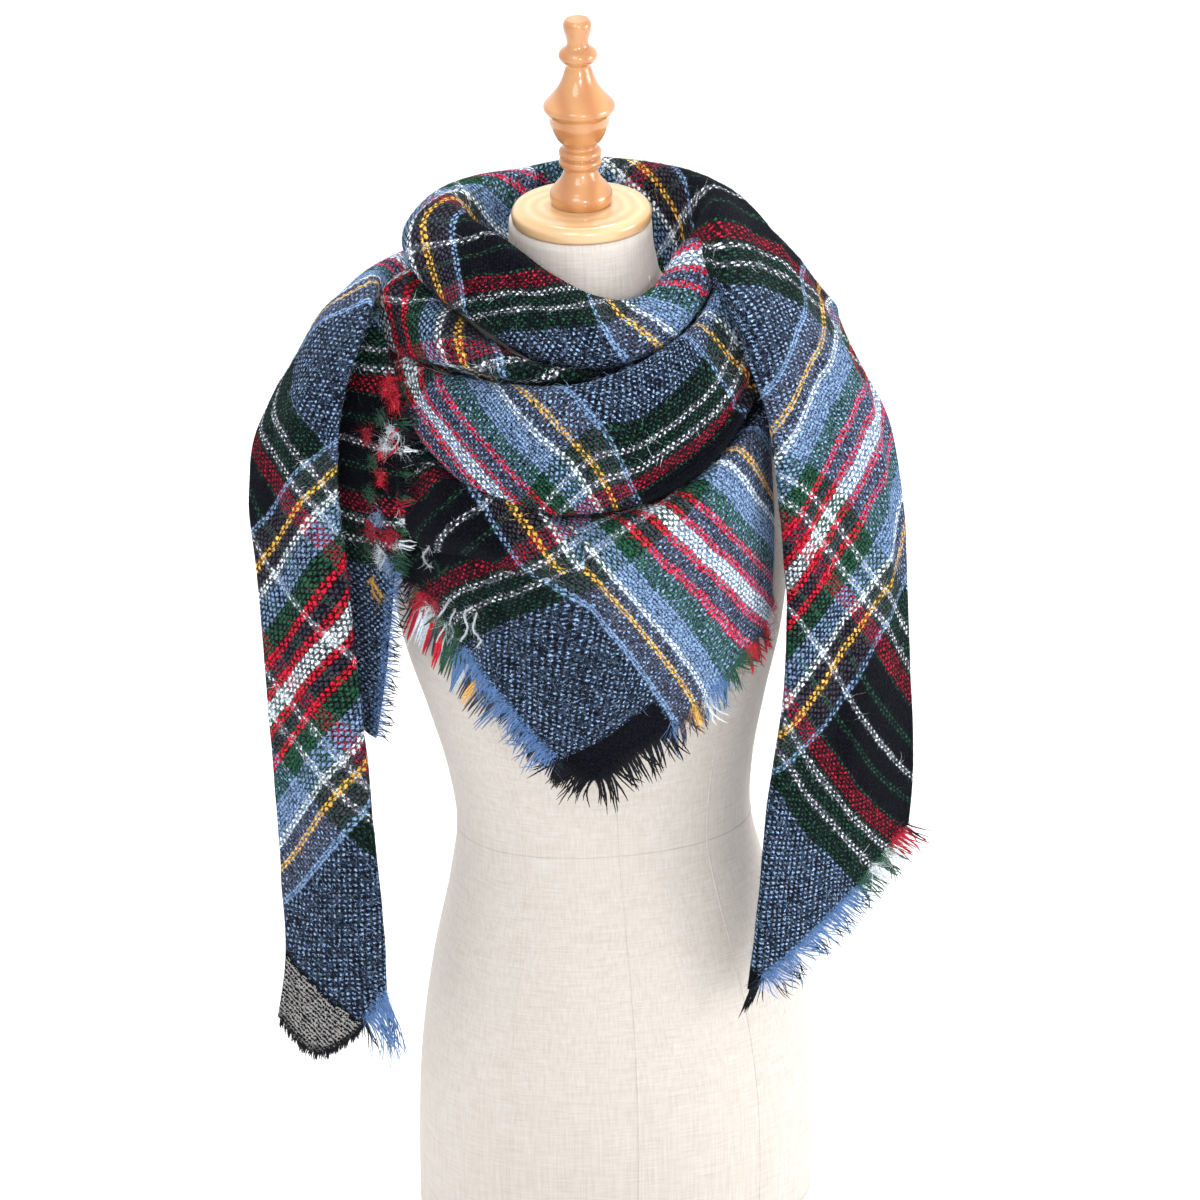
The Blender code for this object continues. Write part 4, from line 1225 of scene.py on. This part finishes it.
def build_fringes(made, yarn):
    rng = np.random.default_rng(7)
    pieces = {}

    def hang(name, stretch, family, reach, edge, black=None, pull=(0, 0, 0), **extra):
        """Fringe along an edge of a stretch: a pair of slices into its grid."""
        _, points, (places, shades) = made[stretch]
        normal = normals_of(points) * outward_sign(points)
        before = (edge[0], -4) if edge[1] == -1 else (-4, edge[1])
        outward = points[edge] - points[before]
        leads = units(thread_leads(points, places, edge, outward, family) + pull)
        names = [thread_colour(family, shade["AB".index(family)], shade[2])
                 for shade in shades[edge]]
        reach = np.full(len(names), float(reach))
        if black:
            # where the strip of black threads ends the cloth, these leave it along the other family
            length, other, sag = black
            strip = (shades[edge][:, 2] < 0)[:, None]
            across = thread_leads(points, places, edge, outward, other)
            leads = np.where(strip, units(across + (0, 0, -sag)), leads)
            reach = np.where(strip[:, 0], length, reach)
        pieces[name] = fringe("yarn_" + name, points[edge], leads, normal[edge], names, reach,
                              yarn, rng, **extra)
        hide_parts(name)

    tip = int(np.argmin(made["apron"][1][:, -1, 2]))
    end = (-1, slice(int(END_FROM * made["tail_left"][1].shape[1]), None))
    hang("fringe_apron_left", "apron", "B", 26, (slice(0, tip + 1), -1), droop=0.25, wisps=14,
         wisp_length=10, step=1.5, girth=1.25)
    hang("fringe_apron_right", "apron", "A", 30, (slice(tip, None), -1), droop=0.2, wisps=13,
         wisp_length=13, step=1.2, girth=1.25)
    hang("fringe_apron_under", "apron_under", "A", 42, (slice(0, None), -1), droop=0.05, step=1.7,
         loose=0.15, wisps=1, girth=1.5, black_share=0.5)
    hang("fringe_tail_left_side", "tail_left_inner", "B", 15, (slice(SIDE_FROM, None), -1),
         wisps=14, wisp_length=7, step=2.0, black_tips=1.0, droop=0.1)
    hang("fringe_tail_left_end", "tail_left", "B", 50, end, black=(9, "A", 0.3), droop=0.95,
         wisps=8, wisp_length=12, step=0.7)
    hang("fringe_tail_right_end", "tail_right", "B", 31, end, black=(30, "A", 1.5),
         pull=(0.35, 0, 0.1), droop=0.1, black_tips=0.6, wisps=16, wisp_length=12, step=1.1)
    return pieces


# ---------------------------------------------------------------- loose yarns
# colour, radius in millimetres, then the places in the picture that it runs through
LOOSE_YARNS = (
    ("white", 1.0, 452, 598, 444, 610, 436, 622, 431, 632, 427, 628),
    ("white", 0.8, 457, 608, 452, 620, 455, 634, 449, 642),
    ("white", 0.9, 474, 606, 466, 612, 469, 628, 462, 640),
    ("white", 0.8, 478, 612, 475, 630, 482, 640, 478, 646),
    ("white", 0.8, 430, 545, 425, 555, 428, 563, 433, 567),
    ("green", 0.8, 436, 560, 444, 572, 450, 566),
    ("red", 1.0, 399, 428, 391, 436, 398, 446, 390, 455),
    ("white", 0.8, 388, 426, 400, 436, 392, 449, 384, 444),
    ("red", 0.9, 384, 384, 392, 378, 400, 388, 396, 402),
    ("crimson", 0.9, 366, 518, 380, 530, 396, 532, 404, 546),
    ("crimson", 0.9, 372, 530, 386, 540, 402, 536, 412, 541),
    ("white", 0.8, 378, 545, 386, 556, 380, 568), ("yellow", 0.9, 371, 578, 378, 588, 384, 596),
    ("yellow", 0.8, 374, 576, 374, 590, 380, 600),
)
# colour, place in the picture, radius in millimetres
TUFTS = (
    ("red", 389, 388, 7), ("red", 396, 403, 6), ("green", 404, 391, 4), ("green", 382, 418, 5),
    ("crimson", 368, 436, 5), ("white", 392, 433, 5), ("white", 386, 446, 5), ("red", 382, 453, 4),
    ("green", 374, 462, 5), ("red", 382, 478, 5), ("green", 371, 495, 5), ("denim", 378, 518, 6),
    ("crimson", 372, 531, 6), ("crimson", 390, 538, 6), ("white", 402, 543, 4),
    ("green", 370, 548, 5), ("white", 380, 556, 5), ("denim", 388, 566, 6), ("green", 458, 632, 6),
    ("green", 452, 648, 6), ("crimson", 436, 604, 6), ("denim", 474, 664, 6),
    ("green", 762, 668, 6), ("green", 750, 660, 5),
)
LOOSE_SIDES, LOOSE_POINTS, LOOSE_LEAST = 6, 14, 6    # of a loose yarn, and the least seen of it
PLIES, FUZZ, TUFT_FIBRES = 3, 10, 180


def seen_on(surfaces, x, y):
    """Nearest point of the surfaces seen at a place in the picture, and the normal there."""
    hits = [hit for hit in (tree.ray_cast(EYE, sight(x, y)) for tree in surfaces)
            if hit[0] is not None]
    if not hits:
        return None
    point, normal, _, _ = min(hits, key=lambda hit: hit[3])
    toward = EYE - point
    return np.array(point), np.array(normal if normal.dot(toward) > 0 else -normal)


def pulled_yarn(yarns, path, kind, radius, rng):
    """A plied yarn along a path, with its own fuzz."""
    ahead = units(np.gradient(path, axis=0))
    for ply in range(PLIES):
        colour = np.array(THREADS[kind]) * rng.uniform(0.45, 0.8)
        rings = []
        for k, (centre, heading) in enumerate(zip(path, ahead)):
            across = units(np.cross(heading, BACKWARD))
            other = np.cross(heading, across)
            twist = 2 * math.pi * ply / PLIES + 0.9 * k
            offset = (across * math.cos(twist) + other * math.sin(twist)) * radius * 0.55 * MM
            rings.append(ring_about(centre + offset, across, other,
                                    radius * rng.uniform(0.35, 0.6) * MM, LOOSE_SIDES))
        yarns.tube(rings, [colour] * len(rings), capped=False)
    count = FUZZ * len(path)
    each = (count, 1)
    pick = rng.integers(0, len(path), count)
    heading = units(ahead[pick] + rng.normal(0, 0.6, (count, 3)))
    across = units(np.cross(heading, rng.normal(size=(count, 3))))
    yarns.fibres(path[pick] + rng.normal(0, 0.5 * radius, (count, 3)) * MM, heading,
                 across * rng.normal(0, 0.8, each), across * 0.1,
                 np.cross(heading, across) * 0.12 * MM, rng.gamma(FIBRE_SPREAD, 0.8, each) * MM,
                 np.array(THREADS[kind]) * rng.uniform(0.4, 0.9, each))


def tuft(yarns, point, normal, kind, radius, rng):
    """A matted tuft of fibres round a point."""
    each = (TUFT_FIBRES, 1)
    out = np.repeat(normal[None], TUFT_FIBRES, axis=0)
    spread = rng.normal(0, 1, (TUFT_FIBRES, 3)) * (0.35, 0.35, 0.7) * radius * MM
    spread -= out * (spread * out).sum(axis=1, keepdims=True)
    heading = units(np.cross(out, rng.normal(size=(TUFT_FIBRES, 3)))
                    + out * rng.uniform(0, 0.25, each))
    across = units(np.cross(out, heading))
    wide = turned_by(rng.normal(0, 0.8, each), across, out) * TUFT_WIDTH / 2 * MM
    # fibres in random tones, and one in three lightened as a painted highlight
    yarns.fibres(point + spread + out * rng.uniform(0.3, 2.5, each) * MM, heading,
                 across * rng.normal(0, 1.6, each), out * 0.1, wide,
                 rng.gamma(FIBRE_SPREAD, radius * 0.13, each) * MM,
                 np.clip(np.array(THREADS[kind]) * rng.uniform(0.3, 1.2, each)
                         + rng.choice((0, 0, 0.06), each), 0, 1))


def build_loose(made, yarn):
    """Pulled loops and matted tufts along the cut edges."""
    rng = np.random.default_rng(5)
    surfaces = []
    for obj, _, _ in made.values():
        mesh = obj.data
        surfaces.append(BVHTree.FromPolygons([v.co for v in mesh.vertices],
                                             [p.vertices for p in mesh.polygons]))
    yarns = Yarns()
    for kind, radius, *xy in LOOSE_YARNS:
        ends = np.array(xy, float).reshape(-1, 2)
        run = lengths(ends)
        path = []
        for x, y in hermite(run, ends, np.linspace(0, run[-1], LOOSE_POINTS)):
            found = seen_on(surfaces, x, y)
            if found:
                path.append(found[0] + found[1] * (1.2 + rng.uniform(0, 1.0)) * MM)
        if len(path) >= LOOSE_LEAST:
            pulled_yarn(yarns, np.array(path), kind, radius, rng)
    for kind, x, y, radius in TUFTS:
        found = seen_on(surfaces, x, y)
        if found:
            tuft(yarns, *found, kind, radius, rng)
    return yarns.piece("yarn_loose", yarn, closed=False)


# ---------------------------------------------------------------- nap
NAP_EVERY = 6.6                      # square millimetres of cloth to a loose fibre
NAP_SIDES = (1.0, 1.0, 1.0, 1.0, -1.0)  # four in five fibres are on the outer face
NAP_OF_A = 0.55                      # share of fibres that family A sheds


def nap(name, points, shades, finish, rng):
    """Fine loose fibres that lie on a stretch and stand a little off it."""
    n, m = points.shape[:2]
    place_s, place_t = arcs(points)
    count = int(place_s[-1, 0] * place_t[0, -1] / MM**2 / NAP_EVERY)
    i, j = rng.uniform(0, n - 1.001, count), rng.uniform(0, m - 1.001, count)
    i0, j0 = i.astype(int), j.astype(int)
    a, b = (i - i0)[:, None], (j - j0)[:, None]

    def read(grid):
        return ((grid[i0, j0] * (1 - a) + grid[i0 + 1, j0] * a) * (1 - b)
                + (grid[i0, j0 + 1] * (1 - a) + grid[i0 + 1, j0 + 1] * a) * b)

    each = (count, 1)
    out = read(normals_of(points) * outward_sign(points)) * rng.choice(NAP_SIDES, count)[:, None]
    root = read(points) + out * WALL * 0.45
    ahead = units(np.cross(out, rng.normal(size=(count, 3))))
    across = np.cross(out, ahead)
    wide = turned_by(rng.normal(0, 0.7, each), across, out) * NAP_WIDTH / 2 * MM
    colour = np.array([THREADS[thread_colour("A", shade[0]) if first
                               else thread_colour("B", shade[1], shade[2])]
                       for shade, first in zip(read(shades), rng.random(count) < NAP_OF_A)])
    colour = np.clip(colour * rng.uniform(0.6, 1.3, each) + 0.004, 0, 1)
    yarns = Yarns()
    yarns.fibres(root, ahead, across * rng.normal(0, 0.7, each),
                 out * rng.uniform(0.05, 0.3, each), wide,
                 rng.gamma(FIBRE_SPREAD, 1.0, each) * MM, colour)
    return yarns.piece(name, finish, closed=False)


def build_nap(made, yarn):
    rng = np.random.default_rng(11)
    return {name: nap("nap_" + name, points, shades, yarn, rng)
            for name, (_, points, (_, shades)) in made.items()}


# ---------------------------------------------------------------- dress form
FORM_SIDES, FORM_LEVELS = 144, 130
RIM_TUCK = -1.6                      # how far the first and last ring lie inside the surface
# turn at each seam height of: centre front, two princess seams in front and three behind
SEAM_HEIGHTS = (0, 335, 580, 800)
SEAMS = ((0, 0, 0, 0), (-38, -36, -40, -52), (38, 36, 40, 52), (180, 180, 180, 180),
         (142, 144, 140, 130), (-142, -144, -140, -130))
WAIST, WAIST_DIP = 335, 4
SEAM_DEEP, SEAM_PROUD, SEAM_WIDE = -0.5, 0.45, 0.9   # millimetres from the form's surface


def form_point(turn, height, proud=0.0):
    """Point on the torso's surface at a turn and height, in metres."""
    rows = np.array(FORM_RINGS)
    half, front, back, lean = hermite(rows[:, 0], rows[:, 1:], [height / MM])[0]
    angle = math.radians(turn)
    across, forward = [math.copysign(abs(part) ** FORM_FULLNESS, part)
                       for part in (math.sin(angle), math.cos(angle))]
    depth = front if forward > 0 else back
    return np.array(((lean + (half + proud) * across) * MM, -(depth + proud) * forward * MM,
                     height))


def stacked(name, rings, finish, sharp=None):
    """A closed body through stacked rings of equal count."""
    sides = len(rings[0])
    ends = [list(range(sides)), list(range((len(rings) - 1) * sides, len(rings) * sides))]
    return object_from(name, [p for ring in rings for p in ring],
                       ends + tube_faces(len(rings), sides), finish, sharp)


def build_form(linen):
    top = FORM_RINGS[-1][0] * MM
    middle = np.linspace(3 * MM, top - 0.5 * MM, FORM_LEVELS)
    rings = [[form_point(360 * s / FORM_SIDES, height, RIM_TUCK if height in (0.0, top) else 0.0)
              for s in range(FORM_SIDES)] for height in (0.0, *middle, top)]
    skin = stacked("form_skin", rings, linen)
    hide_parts("torso")


def build_seams(linen):
    """Raised seams down the form and round its waist."""
    heights = np.linspace(4 * MM, 800 * MM, 150)
    paths = [list(zip(np.interp(heights / MM, SEAM_HEIGHTS, turns), heights)) for turns in SEAMS]
    paths.append([(turn, (WAIST + WAIST_DIP * math.cos(math.radians(turn))) * MM)
                  for turn in np.linspace(-180, 180, 181)])
    vertices, faces = [], []
    for path in paths:
        base = np.array([form_point(turn, height, SEAM_DEEP) for turn, height in path])
        crown = np.array([form_point(turn, height, SEAM_PROUD) for turn, height in path])
        wide = np.cross(units(np.gradient(base, axis=0)), units(crown - base)) * SEAM_WIDE * MM
        first = len(vertices)
        for corners in zip(base + wide * 1.3, crown + wide * 0.5, crown - wide * 0.5,
                           base - wide * 1.3):
            vertices += corners
        faces += tube_faces(len(path), 4, first) + end_faces(len(path), 4, first)
    object_from("form_seams", vertices, faces, linen)


def turned(name, profile, finish, base, sides=96):
    """Body of revolution with a smooth profile, which runs top to bottom."""
    points = np.array(profile)
    run = lengths(points)
    fine = hermite(run, points, np.linspace(0, run[-1], 8 * len(points)))
    fine = np.concatenate((((fine[0, 0] * 0.4, fine[0, 1]),), fine))
    turns = [2 * math.pi * k / sides for k in range(sides)]
    rings = [[(base[0] + radius * math.cos(turn), base[1] + radius * math.sin(turn),
               base[2] + height) for turn in turns] for radius, height in fine]
    return stacked(name, rings, finish, sharp=50)


def build_woodwork(light_wood, dark_wood):
    edge = ((CAP_RADIUS * 0.45, CAP_CROWN), (CAP_RADIUS * 0.8, CAP_CROWN - 0.6 * MM),
            (CAP_RADIUS * 0.95, CAP_CROWN - 2.2 * MM), (CAP_RADIUS, CAP_EDGE - 3 * MM),
            (CAP_RADIUS, CAP_BOTTOM + 4 * MM), (CAP_RADIUS * 0.985, CAP_BOTTOM + 1 * MM),
            (CAP_RADIUS * 0.95, CAP_BOTTOM + 0.2 * MM))
    profile = [(radius * MM, height * MM) for radius, height in FINIAL_PROFILE]
    for name, outline, wood, base, node, slot in (
            ("cap_disc", edge, light_wood, 0, "neck_cap", "cap_wood"),
            ("turned_finial", profile, dark_wood, CAP_CROWN, "finial", "finial_wood")):
        piece = turned(name, outline, wood, (0, NECK_Y, base))
        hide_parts(node)


# ---------------------------------------------------------------- stage and light
FLOOR = ((-6, -6, 0), (6, -6, 0), (6, 9, 0), (-6, 9, 0))
# name, place, width and power of the round lamps, which all face one point
LAMPS = (("key", (-1.4, -2.6, 2.9), 1.6, 30), ("front", (0.5, -3.4, 1.1), 2.0, 6),
         ("top", (0.2, 0.9, 3.0), 1.4, 56), ("side", (2.6, -0.9, 1.0), 1.4, 40))
FACED = (0, 0, 0.6)


def add_lamp(name, kind, place, target, **settings):
    light = bpy.data.lights.new(name, kind)
    for key, value in settings.items():
        setattr(light, key, value)
    lamp = bpy.data.objects.new(name, light)
    lamp.location = place
    lamp.rotation_euler = (Vector(target) - lamp.location).to_track_quat("-Z", "Y").to_euler()
    link(lamp)


def build_stage():
    mesh = bpy.data.meshes.new("floor")
    mesh.from_pydata(FLOOR, [], [(0, 1, 2, 3)])
    mesh.materials.append(Nodes("floor", 0.9, Base_Color=(0.95, 0.95, 0.95, 1)).material)
    floor = bpy.data.objects.new("floor", mesh)
    link(floor)
    world = bpy.data.worlds.new("studio")
    world.use_nodes = True
    background = world.node_tree.nodes["Background"]
    background.inputs["Color"].default_value = (1.0, 1.0, 1.0, 1)
    background.inputs["Strength"].default_value = 1.0
    bpy.context.scene.world = world
    for name, place, size, power in LAMPS:
        add_lamp(name, "AREA", place, FACED, shape="DISK", size=size, energy=power)
    add_lamp("neck", "SPOT", (0.3, -3.2, 2.0), (0.01, 0, 0.86), energy=145,
             spot_size=math.radians(13), spot_blend=1.0, shadow_soft_size=0.25)
    bpy.context.scene.view_settings.view_transform = "Standard"


# ---------------------------------------------------------------- cloth facts
# stretch: how it is held, what it rests on, and the fringes on it
HELD = {
    "cowl_inner": ("draped", "torso"), "cowl_middle": ("draped", "torso"),
    "front_swag": ("draped", "cloth_cowl_middle"), "fold_lower": ("folded", "cloth_apron"),
    "apron": ("hung", "cloth_front_swag", "fringe_apron_left", "fringe_apron_right"),
    "apron_under": ("hung", "torso", "fringe_apron_under"),
    "tail_right": ("draped", "cloth_cowl_inner", "fringe_tail_right_end"),
    "tail_left": ("draped", "cloth_cowl_middle", "fringe_tail_left_end"),
    "tail_left_inner": ("hung", "cloth_tail_left", "fringe_tail_left_side"),
}


def declare(made, fringes, naps, loose):
    for name, (obj, points, _) in made.items():
        held, rests, *hems = HELD[name]
        extra = [fringes[part] for part in hems] + [naps[name]]
        if name == "tail_left_inner":
            extra.append(loose)


def main():
    build_camera()
    build_stage()
    plaid, yarn, linen = build_plaid(), build_yarn(), build_linen()
    light_wood = build_wood("cap_wood", (0.73, 0.48, 0.26), (0.63, 0.37, 0.17), 30.0,
                            turned_rings=True)
    dark_wood = build_wood("finial_wood", (0.56, 0.27, 0.10), (0.45, 0.18, 0.06), 18.0)
    build_form(linen)
    build_seams(linen)
    build_woodwork(light_wood, dark_wood)
    made = build_stretches(plaid)
    fringes = build_fringes(made, yarn)
    declare(made, fringes, build_nap(made, yarn), build_loose(made, yarn))


main()
